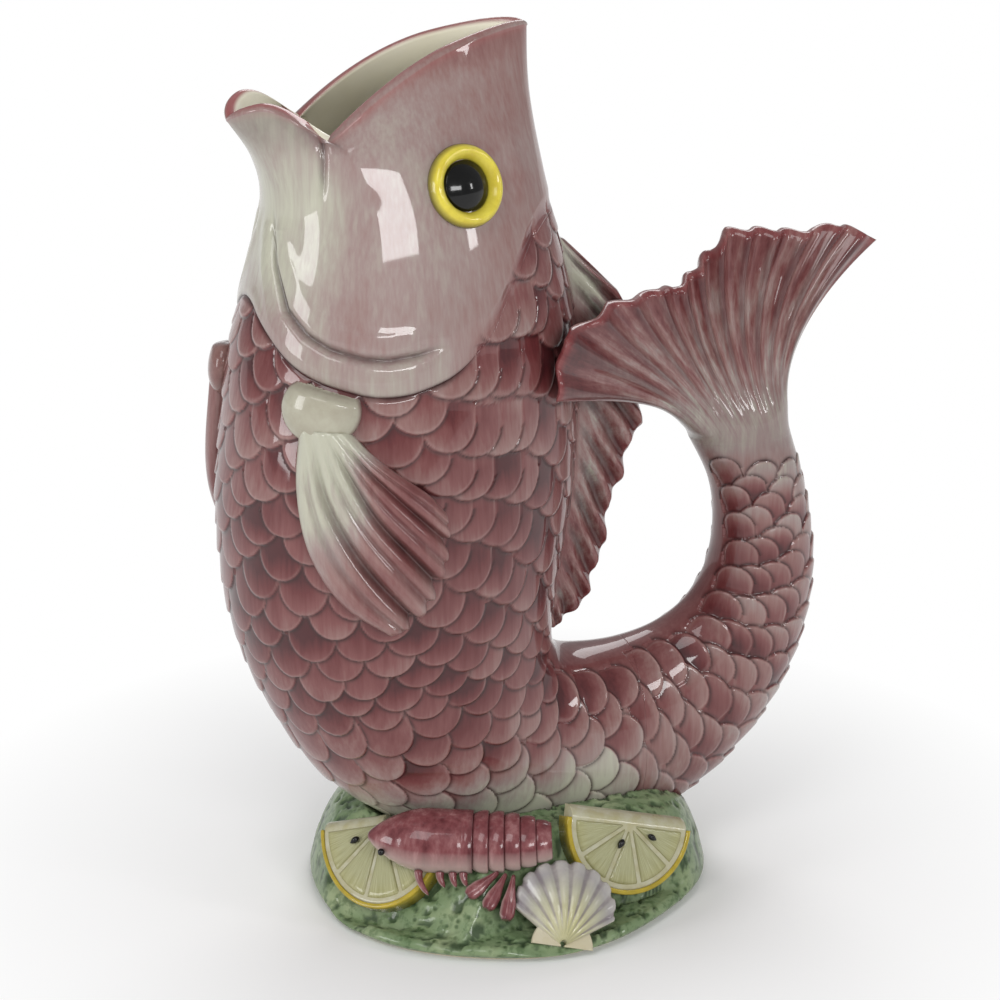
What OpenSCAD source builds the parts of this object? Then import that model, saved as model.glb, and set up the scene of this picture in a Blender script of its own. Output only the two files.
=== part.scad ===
// Gurgle jug in the form of a fish that stands on the bend of its tail.
// The open mouth is the spout and the curled tail is the handle. The tail is hollow, open to the belly
// at its root and closed at its tip, so it traps the air that gurgles when the jug pours.
// +Z is up, the belly faces -X, the fish's left side faces -Y, and the origin is the middle of the foot.

/* [Fish] */
// Height of the tip of the upper jaw
jug_h = 317; // [305:1:330]
// Height of the lip of the lower jaw
lip_h = 291; // [284:1:298]
// Reach of the belly from the middle of the foot
belly_reach = 107; // [100:1:113]
// Reach of the back from the middle of the foot
back_reach = 25; // [20:1:29]
// Greatest width of the body
body_w = 105; // [94:1:112]
// Width of the mouth
mouth_w = 40; // [32:1:52]
// Depth of the notch at each corner of the mouth
mouth_notch = 13; // [6:1:16]
// Rise of each lip above a straight rim
lip_crown = 4; // [0:0.5:7]
// Height of the underside of the belly bend
keel_h = 12; // [11:0.5:16]
// Thickness of the wall
wall = 4.5; // [3:0.5:6]
// Height of a scale's free edge over the next row
scale_rise = 1.2; // [0.6:0.1:1.6]

/* [Tail handle] */
// Reach of the tail from the middle of the foot
tail_reach = 122; // [116:1:130]
// Width of the tail at the grip
tail_w = 36; // [30:1:42]
// Height of the floor of the grip
grip_floor = 86; // [82:1:90]
// Height of the end of the tail
tail_h = 162; // [156:1:168]
// Thickness of the closed end of the tail
tip_wall = 6; // [4:0.5:9]

/* [Tail fin] */
// Length of the longest ray on the outer lobe
outer_lobe_l = 92; // [80:1:100]
// Length of the longest ray on the inner lobe
inner_lobe_l = 101; // [90:1:103]
// Thickness at the edge of the fin
tail_fin_edge = 6; // [4:0.5:8]
// Number of flutes across the fin
tail_fin_flutes = 13; // [8:1:16]
// Height of a flute
tail_fin_flute_h = 1.5; // [0.5:0.25:2.5]
// Room between the inner lobe and the side of the body
lobe_gap = 1; // [0.5:0.25:3]

/* [Back fin] */
// Greatest height of the fin above the back
back_fin_h = 30; // [20:1:32]
// Thickness of the fin at its root
back_fin_root = 8; // [6:0.5:10]
// Thickness of the fin at its edge
back_fin_edge = 4; // [3:0.5:6]
// Number of rays in the fin
back_fin_rays = 12; // [8:1:16]

/* [Side fins] */
// Length of the longest ray
side_fin_l = 72; // [60:1:80]
// Height of the fin above the side at its edge
side_fin_rise = 8; // [5:0.5:10]
// Number of rays in the fin
side_fin_rays = 6; // [4:1:9]
// Angle of the left fin round from the belly
left_fin_angle = 50; // [44:1:58]
// Angle of the right fin round from the belly
right_fin_angle = 30; // [26:1:58]
// Width of the rounded root of the fin
fin_root_w = 27; // [22:1:30]
// Length of the rounded root of the fin
fin_root_l = 21; // [17:1:23]
// Height of the rounded root above the side
fin_root_rise = 6; // [4:0.5:9]

/* [Eyes] */
// Outer diameter of the ring round the eye
eye_d = 28; // [22:0.5:31]
// Diameter of the pupil
pupil_d = 17; // [12:0.5:19]
// Height of the ring above the head
eye_ring_rise = 4; // [2.5:0.5:6]
// Height of the pupil above the head
pupil_rise = 3.5; // [2:0.5:6]

/* [Base] */
// Length of the base
base_l = 151; // [143:1:159]
// Width of the base
base_w = 150; // [142:1:158]
// Height of the rounded edge of the base
rim_h = 6; // [5:0.5:8]
// Height of the mound that carries the fish
mound_h = 36; // [32:1:40]
// Height of the bare foot under the base
foot_h = 2; // [1.5:0.5:3]
// Distance of the foot in from the edge of the base
foot_inset = 3; // [2:0.5:8]

/* [Lemon slices] */
// Length of the left half slice from its flat edge to the other side of a whole slice
left_lemon_d = 63; // [54:1:65]
// Width of the left slice as a share of its length
left_lemon_oval = 0.82; // [0.76:0.02:0.9]
// Arc of the left slice, which is tucked under the shrimp
left_lemon_arc = 144; // [120:1:146]
// Diameter of the right half slice
right_lemon_d = 51; // [44:1:53]
// Thickness of a slice
lemon_t = 7; // [5:0.5:8]
// Run of the slope behind the flat edge of a slice
lemon_heel = 4.5; // [3:0.5:5]
// Thickness of the rind
rind_t = 1.8; // [1:0.2:3]
// Number of segments in a half slice
lemon_segments = 5; // [4:1:6]
// Height of the segments above the pith
segment_rise = 0.6; // [0.3:0.1:1.2]
// Length of a seed
seed_l = 4; // [3:0.25:5]

/* [Shrimp] */
// Length of the carapace
carapace_l = 38; // [32:1:39]
// Width of the carapace
carapace_w = 24; // [19:1:24]
// Height of the carapace
carapace_rise = 9; // [7:0.5:10]
// Length of the abdomen
abdomen_l = 28; // [24:1:29]
// Number of rings in the abdomen
abdomen_rings = 5; // [4:1:7]
// Length of a blade of the tail fan
tail_blade_l = 18; // [14:1:20]
// Diameter of the eye
shrimp_eye_d = 3.2; // [2.5:0.1:4]

/* [Scallop] */
// Width of the shell
scallop_w = 34; // [29:1:36]
// Height of the shell from its hinge
scallop_l = 31; // [27:1:32]
// Rise of the middle of the shell
scallop_rise = 6; // [4:0.5:8]
// Number of ribs on the shell
scallop_ribs = 9; // [7:1:12]

/* [Fit] */
// Gap between an applied piece and what it sits on
seat_gap = 0.25; // [0.1:0.05:0.3]

/* [Hidden] */
$fn = 64;

rose = [0.62, 0.40, 0.42];
dark_rose = [0.50, 0.27, 0.31];
grey_rose = [0.70, 0.62, 0.62];
cream = [0.93, 0.90, 0.82];
lemon_yellow = [0.88, 0.74, 0.18];
moss = [0.36, 0.52, 0.36];

half_w = body_w / 2;
half_tail_w = tail_w / 2;

// Cross-sections of the fish from the mouth to the end of the tail. Each row holds the belly point (x, z),
// the back point (x, z), the half width, and how far the width is drawn toward the belly.
SECTIONS = [
    [-belly_reach + 7.5, lip_h, back_reach - 18, jug_h, mouth_w / 2, 0.45],
    [-belly_reach + 17, lip_h - 15, back_reach - 17.5, jug_h - 24, mouth_w / 2 + 10, 0.32],
    [-belly_reach + 20, 261, back_reach - 13, 268, half_w - 15.5, 0.2],
    [-belly_reach + 15.5, 240, back_reach - 6.5, 242, half_w - 9.5, 0.16],
    [-belly_reach + 7.5, 212, back_reach - 0.5, 212, half_w - 4.5, 0.15],
    [-belly_reach + 2.5, 178, back_reach + 0.5, 180, half_w - 1, 0.15],
    [-belly_reach + 0.5, 148, back_reach - 1.5, 152, half_w, 0.14],
    [-belly_reach + 4, 112, back_reach - 6.5, 124, half_w - 1.5, 0.1],
    [-belly_reach + 16, 79, back_reach - 9.5, grip_floor + 18, half_w - 5.5, 0.05],
    [-belly_reach + 38, keel_h + 34, back_reach - 8.5, grip_floor + 7, half_w - 11.5, 0],
    [-33, keel_h + 10, 22, grip_floor + 1.5, half_tail_w + 16, 0],
    [8, keel_h, 32, grip_floor, half_tail_w + 11, 0],
    [45, keel_h, 46, grip_floor + 0.5, half_tail_w + 8, 0],
    [tail_reach - 48, keel_h + 10, 60, grip_floor + 4, half_tail_w + 5.5, 0],
    [tail_reach - 22, 45, tail_reach - 50, grip_floor + 12, half_tail_w + 3.5, 0],
    [tail_reach - 6, 72, tail_reach - 42.5, 111.5, half_tail_w + 1.5, 0],
    [tail_reach + 0.5, 103, tail_reach - 40.5, 127, half_tail_w, 0],
    [tail_reach - 3, tail_h - 27, tail_reach - 43, tail_h - 18.5, half_tail_w - 1.5, 0],
    [tail_reach - 11, tail_h, tail_reach - 51.5, tail_h - 1, half_tail_w - 3.5, 0]
];
LAST = len(SECTIONS) - 1;

// Places along the fish, counted in sections: where the tail starts, and the edge of the gill covers
// at angle f from the belly
TAIL_ROOT = 12;
GILL_EDGE = [
    [0, 3.3], [15, 3.55], [40, 4.05], [70, 4.28], [88, 4.16], [98, 4], [107, 3.65], [115, 3.34], [122, 2.98],
    [140, 2.62], [180, 2.5]
];
gill_edge_at = function (f) lookup(f, GILL_EDGE);

// Rim of the mouth: the angle of each corner, the spread of its notch along the lower and the upper jaw, and
// how far down the head it fades
CORNER = 62;
LOWER_SPREAD = 34;
UPPER_SPREAD = 54;
RIM_FADE = 1.3;

function lerp(a, b, u) = a + (b - a) * u;
function unit(v) = v / norm(v);
function bump(u) = u <= 0 || u >= 1 ? 0 : sin(180 * u);

function section(i) =
    i < 0 ? 2 * SECTIONS[0] - SECTIONS[1] :
    i > LAST ? 2 * SECTIONS[LAST] - SECTIONS[LAST - 1] :
    SECTIONS[i];

// Smooth curve through the sections
function along(t) =
    let (
        i = max(0, min(floor(t), LAST - 1)),
        u = t - i,
        a = section(i - 1), b = section(i), c = section(i + 1), d = section(i + 2)
    )
    (2 * b + (c - a) * u + (2 * a - 5 * b + 4 * c - d) * u * u + (3 * b - a - 3 * c + d) * u * u * u) / 2;

// Height that the rim of the mouth adds to the head, at angle f from the belly
function rim_lift(t, f) =
    t >= RIM_FADE ? 0 :
    let (
        spread = f < CORNER ? LOWER_SPREAD : UPPER_SPREAD,
        notch = max(0, 1 - abs(f - CORNER) / spread),
        arch = bump(f < CORNER ? f / CORNER : (f - CORNER) / (180 - CORNER))
    )
    pow(1 - t / RIM_FADE, 2) * (lip_crown * arch - mouth_notch * notch * notch);

// Point on the fish at section t and at angle a: 0 is the belly, 90 the left side and 180 the back
function skin(t, a, out = 0) =
    let (
        s = along(t),
        mid = [s[0] + s[2], s[1] + s[3]] / 2,
        reach = [s[0] - s[2], s[1] - s[3]] / 2,
        grow = 1 + out / norm(reach),
        turn = ((a % 360) + 360) % 360,
        fold = turn <= 180 ? turn : 360 - turn,
        p = mid + reach * grow * cos(a)
    )
    [p[0], -(s[4] + out) * sin(a) * (1 + s[5] * cos(a)), p[1] + rim_lift(t, fold)];

function skin_down(t, a) = (skin(t + 0.02, a) - skin(t - 0.02, a)) / 0.04;
function skin_round(t, a) = (skin(t, a + 1) - skin(t, a - 1)) / 2;
function skin_normal(t, a) = unit(cross(skin_down(t, a), skin_round(t, a)));

// Finds the place on the skin that lies over a point of the tangent plane
function settle(p, t, a, u, v, turns) =
    turns == 0 ? [t, a] :
    let (
        r = p - skin(t, a),
        dt = skin_down(t, a),
        da = skin_round(t, a),
        det = (dt * u) * (da * v) - (da * u) * (dt * v),
        step_t = ((r * u) * (da * v) - (da * u) * (r * v)) / det,
        step_a = ((dt * u) * (r * v) - (r * u) * (dt * v)) / det
    )
    settle(p, t + step_t, a + step_a, u, v, turns - 1);

// Point at x down and y round from place (t, a) on the skin, raised by h
function on_skin(t, a, x, y, h) =
    let (
        n = skin_normal(t, a),
        u = unit(skin_down(t, a)),
        v = cross(n, u),
        q = settle(skin(t, a) + x * u + y * v, t, a, u, v, 3)
    )
    skin(q[0], q[1]) + h * skin_normal(q[0], q[1]);

// Triangles between ring p and ring q of n points each
function band(p, q, n) = [
    for (j = [0 : n - 1])
        let (k = (j + 1) % n)
        each [[p + j, p + k, q + k], [p + j, q + k, q + j]]
];

// The same with the other diagonal, which lets two shells that share an edge meet face to face
function cross_band(p, q, n) = [
    for (j = [0 : n - 1])
        let (k = (j + 1) % n)
        each [[p + j, p + k, q + j], [p + k, q + k, q + j]]
];

// Triangles between ring p of n points and ring q of m points
function stitch(p, n, q, m) = concat(
    [for (i = [0 : n - 1]) [p + i, p + (i + 1) % n, q + floor((i + 1) * m / n) % m]],
    [for (j = [0 : m - 1]) [p + ceil((j + 1) * n / m) - 1, q + (j + 1) % m, q + j]]
);

// Triangles that close ring p by joining each point to the one opposite
function zip(p, n, start) = [
    for (j = [0 : n / 2 - 1])
        let (a = p + j, b = p + j + 1, c = p + n - j - 1, d = p + (n - j) % n)
        each [
            if (b != c) start ? [a, c, b] : [a, b, c],
            if (d != a) start ? [a, d, c] : [a, c, d]
        ]
];

// Solid through a list of rings. A loop joins the last ring to the first, which has as many points. Without
// a loop the end rings have even numbers of points.
module ring_solid(rings, loop = false) {
    last = len(rings) - 1;
    sizes = [for (r = rings) len(r)];
    starts = [for (i = 0, at = 0; i <= last; at = at + sizes[i], i = i + 1) at];
    points = [for (r = rings) each r];
    sides = [
        for (i = [0 : last - 1])
            let (p = starts[i], q = starts[i + 1], n = sizes[i], m = sizes[i + 1])
            each n == m ? band(p, q, n) : stitch(p, n, q, m)
    ];
    ends = loop ? cross_band(starts[last], 0, sizes[0])
        : concat(zip(0, sizes[0], true), zip(starts[last], sizes[last], false));
    polyhedron(points, concat(sides, ends));
}

function skin_ring(t, n, out = 0) = [for (j = [0 : n - 1]) skin(t, 360 * j / n, out)];

function ring_between(start, end, u, n, out) = [
    for (j = [0 : n - 1])
        let (a = 360 * j / n, f = a <= 180 ? a : 360 - a)
        skin(lerp(start(f), end(f), u), a, out)
];
SHELL_POINTS = 44;

// Scales: rows of plates that each rise to a free edge and step down to the next row. A zone holds the edges
// where it starts and ends, its plates in a row, and its rows.
BODY_ZONES = [
    [gill_edge_at, function (f) 8.2, 22, 14],
    [function (f) 8.2, function (f) 9.8, 18, 4],
    [function (f) 9.8, function (f) TAIL_ROOT, 14, 6]
];
TAIL_ZONE = [function (f) TAIL_ROOT, function (f) 17.7, 11, 18];
// Points in the edge of a plate, how far its tip stands out and how long its step is, in rows
SCALE_POINTS = 3;
SCALE_SCOOP = 0.3;
SCALE_STEP = 0.08;
// Angle from the belly at which the smooth inside of the grip starts
GRIP_SMOOTH = [[8.2, 172], [9, 148], [10, 140], [13, 140], [15, 146], [18, 150]];
function scale_ring(z, row, low) =
    let (n = SCALE_POINTS * z[2], odd = row % 2)
    [
        for (j = [0 : n - 1])
            let (
                a = 360 * (j + odd / 2) / n,
                f = a <= 180 ? a : 360 - a,
                tip = j % SCALE_POINTS == odd ? SCALE_SCOOP : -SCALE_SCOOP,
                t = lerp(z[0](f), z[1](f), (row + 0.5 + tip + (low ? SCALE_STEP : 0)) / z[3]),
                depth = f < lookup(t, GRIP_SMOOTH) ? scale_rise : 0
            )
            skin(t, a, low ? -depth : 0)
    ];
function scale_rings(z) = [for (row = [0 : z[3] - 1]) for (low = [false, true]) scale_ring(z, row, low)];

module head_shell() {
    steps = 12;
    mouth = function (f) 0;
    outer = [for (i = [0 : steps]) ring_between(mouth, gill_edge_at, i / steps, SHELL_POINTS, 0)];
    inner = [for (i = [steps : -1 : 0]) ring_between(mouth, gill_edge_at, i / steps, SHELL_POINTS, -wall)];
    color(grey_rose) ring_solid(concat(outer, inner), loop = true);
}

module body_shell() {
    steps = 10;
    tail = function (f) TAIL_ROOT;
    gill = ring_between(gill_edge_at, tail, 0, SHELL_POINTS, 0);
    scales = [for (z = BODY_ZONES) each scale_rings(z)];
    root = skin_ring(TAIL_ROOT, len(scales[len(scales) - 1]));
    inner = [for (i = [steps : -1 : 0]) ring_between(gill_edge_at, tail, i / steps, SHELL_POINTS, -wall)];
    color(rose) ring_solid(concat([gill], scales, [root], inner), loop = true);
}

// The tail's hollow starts at the belly and stops short of the tip
module tail_handle() {
    n = 28;
    steps = 8;
    end_run = norm(skin(LAST, 0) - skin(LAST - 1, 0));
    hollow_end = LAST - tip_wall / end_run;
    inner = [for (i = [steps : -1 : 0]) skin_ring(lerp(TAIL_ROOT, hollow_end, i / steps), n, -wall)];
    scales = scale_rings(TAIL_ZONE);
    color(rose) ring_solid(concat(inner, [skin_ring(TAIL_ROOT, n)], scales, [skin_ring(LAST, n)]));
}

// Tail fin: rays fan out from a point below the end of the tail. The inner lobe turns aside,
// passes the back fin and ends beside the body.
FAN_LOW = 52;
FAN_HIGH = 157;
RAY_BEND = 35;
function fan_centre() = [tail_reach - 34, tail_h - 4];
function ray_length(q) = lookup(q, [
    [FAN_LOW, outer_lobe_l], [64, outer_lobe_l - 4], [79, outer_lobe_l - 9], [93, outer_lobe_l - 8],
    [98, outer_lobe_l - 17], [106, outer_lobe_l - 22], [114, inner_lobe_l - 32], [125, inner_lobe_l - 20],
    [133, inner_lobe_l - 9], [145, inner_lobe_l], [FAN_HIGH, inner_lobe_l - 8]
]);
function lobe_end() = skin(4.4, 130, lobe_gap + tail_fin_edge / 2 + tail_fin_flute_h);
LOBE_RUN = 21;
LOBE_ROOT = 0.07;
function lobe_side(x, r) =
    let (
        turn_x = back_reach + back_fin_h + LOBE_RUN,
        end = lobe_end(),
        u = max(0, (turn_x - x) / (turn_x - end[0]))
    )
    end[1] * pow(u, 1.1) * min(1, r / LOBE_ROOT);
function tail_fin_point(r, s, side) =
    let (
        a = acos(1 - 2 * s),
        end = along(LAST),
        root = ([end[0], end[1]] * (1 - s) + [end[2], end[3]] * s),
        q = lerp(FAN_LOW, FAN_HIGH, s),
        edge = fan_centre() + ray_length(q) * [cos(q), sin(q)],
        bend = lerp(107, 142, s),
        via = root + RAY_BEND * [cos(bend), sin(bend)],
        p = root * (1 - r) * (1 - r) + 2 * via * r * (1 - r) + edge * r * r,
        half_t = lerp(end[4], tail_fin_edge / 2, pow(r, 0.6)) * pow(max(0, sin(a)), 1 - 0.6 * r),
        flute = tail_fin_flute_h * r * sin(a) * cos(360 * tail_fin_flutes * s)
    )
    [p[0], lobe_side(p[0], r) - side * half_t + flute, p[1]];

module tail_fin() {
    across = 42;
    steps = 8;
    rings = [
        for (i = [0 : steps]) [
            for (k = [0 : across]) tail_fin_point(i / steps, k / across, 1),
            for (k = [across - 1 : -1 : 1]) tail_fin_point(i / steps, k / across, -1)
        ]
    ];
    color(dark_rose) ring_solid(rings);
}

// Back fin: a ribbed sail along the middle of the back, with rays that slant toward the tail
BACK_FIN_TOP = 3;
BACK_FIN_END = 8.6;
BACK_FIN_SLANT = 0.5;
// Room for the round of the back under the flat root
BACK_FIN_CLEAR = 0.12;
function back_fin_height(u) = back_fin_h * lookup(u, [
    [0, 0.1], [0.07, 0.88], [0.18, 1], [0.34, 1], [0.52, 0.7], [0.78, 0.62], [1, 0.1]
]);
function back_fin_point(u, r, side) =
    let (
        t = lerp(BACK_FIN_TOP, BACK_FIN_END, u),
        half_t = lerp(back_fin_root, back_fin_edge, r) / 2,
        root = skin(t, 180 - side * asin(half_t / along(t)[4]), seat_gap + BACK_FIN_CLEAR),
        out = unit([1, 0, -BACK_FIN_SLANT]),
        ray = cos(360 * back_fin_rays * u),
        h = back_fin_height(u) + (r > 0 ? 1.2 * ray : 0)
    )
    root + r * h * out + [0, -side * 0.7 * bump(r) * ray, 0];

module back_fin() {
    up = 4;
    steps = 48;
    rings = [
        for (i = [0 : steps]) [
            for (k = [0 : up]) back_fin_point(i / steps, k / up, 1),
            for (k = [up : -1 : 0]) back_fin_point(i / steps, k / up, -1)
        ]
    ];
    color(dark_rose) ring_solid(rings);
}

// Side fin: a ribbed fan on the flank, hung below its rounded root
SIDE_FIN_PLACE = 4.62;
FAN_FRONT = -17;
FAN_BACK = 64;
function side_ray(q) = side_fin_l * lookup(q, [
    [FAN_FRONT, 0.4], [4, 0.74], [18, 1], [38, 0.82], [54, 0.65], [FAN_BACK, 0.44]
]);
function side_fin_point(angle, r, s, raised) =
    let (
        q = lerp(FAN_FRONT, FAN_BACK, s),
        x = lerp(1, side_ray(q) * cos(q), r),
        y = lerp(lerp(-8, 8, s), side_ray(q) * sin(q), r),
        rib = 1 + 0.18 * r * cos(360 * side_fin_rays * s),
        h = lerp(side_fin_rise * 0.5, side_fin_rise, r) * lerp(0.55, 1, bump(s)) * rib
    )
    on_skin(SIDE_FIN_PLACE, angle, x, y, seat_gap + (raised ? h : 0));

module side_fin(angle) {
    across = 24;
    steps = 7;
    rings = [
        for (i = [0 : steps]) [
            for (k = [0 : across]) side_fin_point(angle, i / steps, k / across, true),
            for (k = [across : -1 : 0]) side_fin_point(angle, i / steps, k / across, false)
        ]
    ];
    color(dark_rose) ring_solid(rings);
}

module left_side_fin() { side_fin(left_fin_angle); }
module right_side_fin() { mirror([0, 1, 0]) side_fin(right_fin_angle); }

// Oval pad on the skin. The profile gives its height from the middle (0) to the edge (1).
module skin_pad(t, a, l, w, hole, steps, n, profile) {
    function ring(r, raised) = [
        for (j = [0 : n - 1])
            let (q = 360 * j / n)
            on_skin(t, a, r * l / 2 * cos(q), r * w / 2 * sin(q), seat_gap + (raised ? profile(r) : 0))
    ];
    places = [for (i = [0 : steps]) lerp(hole, 1, i / steps)];
    front = [for (r = places) ring(r, true)];
    back = [for (i = [steps : -1 : 0]) ring(places[i], false)];
    ring_solid(concat(front, back), loop = hole > 0.2);
}

PAD_MIDDLE = 0.12;
PAD_EDGE_T = 0.8;
FIN_ROOT_PLACE = 4.3;
module fin_root(angle) {
    color(grey_rose)
        skin_pad(FIN_ROOT_PLACE, angle, fin_root_l, fin_root_w, PAD_MIDDLE, 4, 20,
            function (r) PAD_EDGE_T + (fin_root_rise - PAD_EDGE_T) * sqrt(max(0, 1 - r * r)));
}

module left_fin_root() { fin_root(left_fin_angle); }
module right_fin_root() { mirror([0, 1, 0]) fin_root(right_fin_angle); }

// Eyes: a rounded ring with the pupil set inside it
EYE_PLACE = 1.81;
EYE_ANGLE = 103;
module eye_ring() {
    inner = (pupil_d + 2 * seat_gap) / eye_d;
    color(lemon_yellow)
        skin_pad(EYE_PLACE, EYE_ANGLE, eye_d, eye_d, inner, 4, 28,
            function (r) PAD_EDGE_T + (eye_ring_rise - PAD_EDGE_T) * bump((r - inner) / (1 - inner)));
}
module pupil() {
    color("black")
        skin_pad(EYE_PLACE, EYE_ANGLE, pupil_d, pupil_d, PAD_MIDDLE, 3, 20,
            function (r) PAD_EDGE_T + (pupil_rise - PAD_EDGE_T) * (1 - r * r));
}

module left_eye_ring() { eye_ring(); }
module right_eye_ring() { mirror([0, 1, 0]) eye_ring(); }
module left_pupil() { pupil(); }
module right_pupil() { mirror([0, 1, 0]) pupil(); }

// Seats on the base. Each holds a point on the seat, the turn and the tilt of its plane, the roll of the
// piece in that plane, and a round patch (x, y, radius) that is cut down to the seat at the lip of the base.
LEFT_LEMON = [[-49.9, -15.2, 31.3], -52, 53, 21, [0, 0, left_lemon_d / 2 + 8]];
RIGHT_LEMON = [[28.4, -42.6, 32.4], 8, 70, -18, [0, 0, right_lemon_d / 2 + 5]];
SHRIMP = [[-31.6, -45, 29.6], -23, 48, 0, [0, -2, 34]];
SCALLOP = [[-1.8, -64.6, 15.2], -5, 50, -15, [0, 1, scallop_w / 2 + 12]];
SEATS = [LEFT_LEMON, RIGHT_LEMON, SHRIMP, SCALLOP];

module seated(seat) {
    translate(seat[0]) rotate([seat[2], 0, seat[1]]) rotate(seat[3]) children();
}

// Rise of the bank round a seat
PATCH_BANK = 2;
function seat_normal(seat) =
    [sin(seat[2]) * sin(seat[1]), -sin(seat[2]) * cos(seat[1]), cos(seat[2])];
function seat_height(seat, x, y) =
    let (
        n = seat_normal(seat),
        dx = x - seat[0][0],
        dy = y - seat[0][1],
        px = dx * cos(seat[1]) + dy * sin(seat[1]),
        py = (dy * cos(seat[1]) - dx * sin(seat[1])) / cos(seat[2]),
        patch = seat[4],
        off_patch = max(0, norm([px - patch[0], py - patch[1]]) - patch[2])
    )
    let (plane = seat[0][2] - (n[0] * dx + n[1] * dy) / n[2] - seat_gap)
    max(plane, min(rim_h, plane + PATCH_BANK * off_patch));

// Height of the underside of the fish over a point of the base
function underside(x, y) =
    let (
        track = [
            for (t = [7 : 0.2 : 15])
                let (s = along(t), share = y / s[4])
                if (abs(share) < 0.98)
                    let (c = sqrt(1 - share * share), m = [s[0] + s[2], s[1] + s[3]] / 2)
                    m + c * [s[0] - s[2], s[1] - s[3]] / 2
        ]
    )
    len(track) == 0 ? 1000 : lookup(x, track);

// Edge of the base: an oval with shallow waves
function base_edge(q) =
    (1 + 0.038 * cos(2 * (q + 135)) + 0.012 * cos(6 * (q + 90)))
    / norm([2 * cos(q) / base_l, 2 * sin(q) / base_w]);
function mound(r) = rim_h + (mound_h - rim_h) * (1 - pow(r, MOUND_STEEP));
MOUND_STEEP = 9;
MIN_BASE_T = 1;
BED_GAP = seat_gap + 0.6;
function base_top(x, y, r) =
    max(foot_h + MIN_BASE_T,
        min(concat([mound(r), underside(x, y) - BED_GAP], [for (s = SEATS) seat_height(s, x, y)])));

module base_mound() {
    n = 72;
    steps = 15;
    side = [[1, rim_h * 0.62], [1, rim_h * 0.35], [0.985, foot_h]];
    function place(r, q) = r * base_edge(q) * [cos(q), sin(q)];
    top = [
        for (i = [0 : steps])
            let (r = lerp(0.04, 0.975, i / steps))
            [for (j = [0 : n - 1]) let (p = place(r, 360 * j / n)) [p[0], p[1], base_top(p[0], p[1], r)]]
    ];
    edge = [
        for (e = side)
            [
                for (j = [0 : n - 1])
                    let (p = place(e[0], 360 * j / n), cap = base_top(p[0], p[1], 1))
                    [p[0], p[1], min(e[1], lerp(foot_h, cap, e[1] / rim_h))]
            ]
    ];
    color(moss) ring_solid(concat(top, edge));
}

module foot() {
    outline = [for (j = [0 : 71]) let (q = 5 * j) (base_edge(q) * 0.985 - foot_inset) * [cos(q), sin(q)]];
    color(cream) linear_extrude(foot_h) polygon(outline);
}

// Half slice of lemon, flat edge up. Its arc runs from the left end of the flat edge.
SLICE_STEPS = 20;
function slice_arc(r, oval, arc) =
    [for (i = [0 : SLICE_STEPS]) let (q = 180 + arc * i / SLICE_STEPS) [r * oval * cos(q), r * sin(q)]];
function turned(list) = [for (i = [len(list) - 1 : -1 : 0]) list[i]];
MEMBRANE_T = 1.2;
SEGMENT_TIP = 2.5;
PITH_BAND = 1.6;
module lemon_rind(d, oval, arc) {
    outline = concat(slice_arc(d / 2, oval, arc), turned(slice_arc(d / 2 - rind_t, oval, arc)));
    color(lemon_yellow) linear_extrude(lemon_t) polygon(outline);
}
// The pith slopes back behind the flat edge
module lemon_pith(d, oval, arc) {
    r = d / 2 - rind_t;
    pith_t = lemon_t - segment_rise;
    edge_l = arc < 180 ? r * oval : 2 * r * oval;
    color(cream) {
        linear_extrude(pith_t) polygon(concat([[0, 0]], slice_arc(r, oval, arc)));
        translate([-r * oval, 0, 0])
            rotate([90, 0, 90])
                linear_extrude(edge_l) polygon([[0, 0], [lemon_heel, 0], [0, pith_t]]);
    }
}
module lemon_flesh(d, oval, arc) {
    out = d / 2 - rind_t - PITH_BAND;
    span = 180 / lemon_segments;
    margin_in = asin(MEMBRANE_T / 2 / SEGMENT_TIP);
    margin_out = asin(MEMBRANE_T / 2 / out);
    function stretch(r, q) = [r * oval * cos(q), r * sin(q)];
    color([0.95, 0.90, 0.60])
        for (k = [0 : floor(arc / span) - 1])
            let (
                from = 180 + k * span,
                sweep = span - 2 * margin_out,
                outside = [for (i = [0 : 6]) stretch(out, from + margin_out + sweep * i / 6)],
                root = [for (q = [span - margin_in, margin_in]) stretch(SEGMENT_TIP, from + q)]
            )
            translate([0, 0, lemon_t - segment_rise])
                linear_extrude(segment_rise) polygon(concat(root, outside));
}
// Seed lying on the flesh, pointing away from the middle
SEED_SHARE = 0.28;
module lemon_seed(place) {
    translate([place[0], place[1], lemon_t + SEED_SHARE * seed_l])
        rotate([0, 90, atan2(place[1], place[0])])
            rotate_extrude()
                polygon(seed_l * [[0, -0.5], [0.2, -0.25], [SEED_SHARE, 0], [0.22, 0.25], [0, 0.5]]);
}

module left_lemon_rind() {
    seated(LEFT_LEMON) lemon_rind(left_lemon_d, left_lemon_oval, left_lemon_arc);
}
module left_lemon_pith() {
    seated(LEFT_LEMON) lemon_pith(left_lemon_d, left_lemon_oval, left_lemon_arc);
}
module left_lemon_segments() {
    seated(LEFT_LEMON) lemon_flesh(left_lemon_d, left_lemon_oval, left_lemon_arc);
}
module right_lemon_rind() { seated(RIGHT_LEMON) lemon_rind(right_lemon_d, 1, 180); }
module right_lemon_pith() { seated(RIGHT_LEMON) lemon_pith(right_lemon_d, 1, 180); }
module right_lemon_segments() { seated(RIGHT_LEMON) lemon_flesh(right_lemon_d, 1, 180); }
module lemon_seeds() {
    color([0.2, 0.17, 0.12]) {
        seated(LEFT_LEMON) lemon_seed([-11, -5.7]);
        seated(RIGHT_LEMON) lemon_seed([-3.5, -7.5]);
        seated(RIGHT_LEMON) lemon_seed([9, -4]);
    }
}

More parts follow.
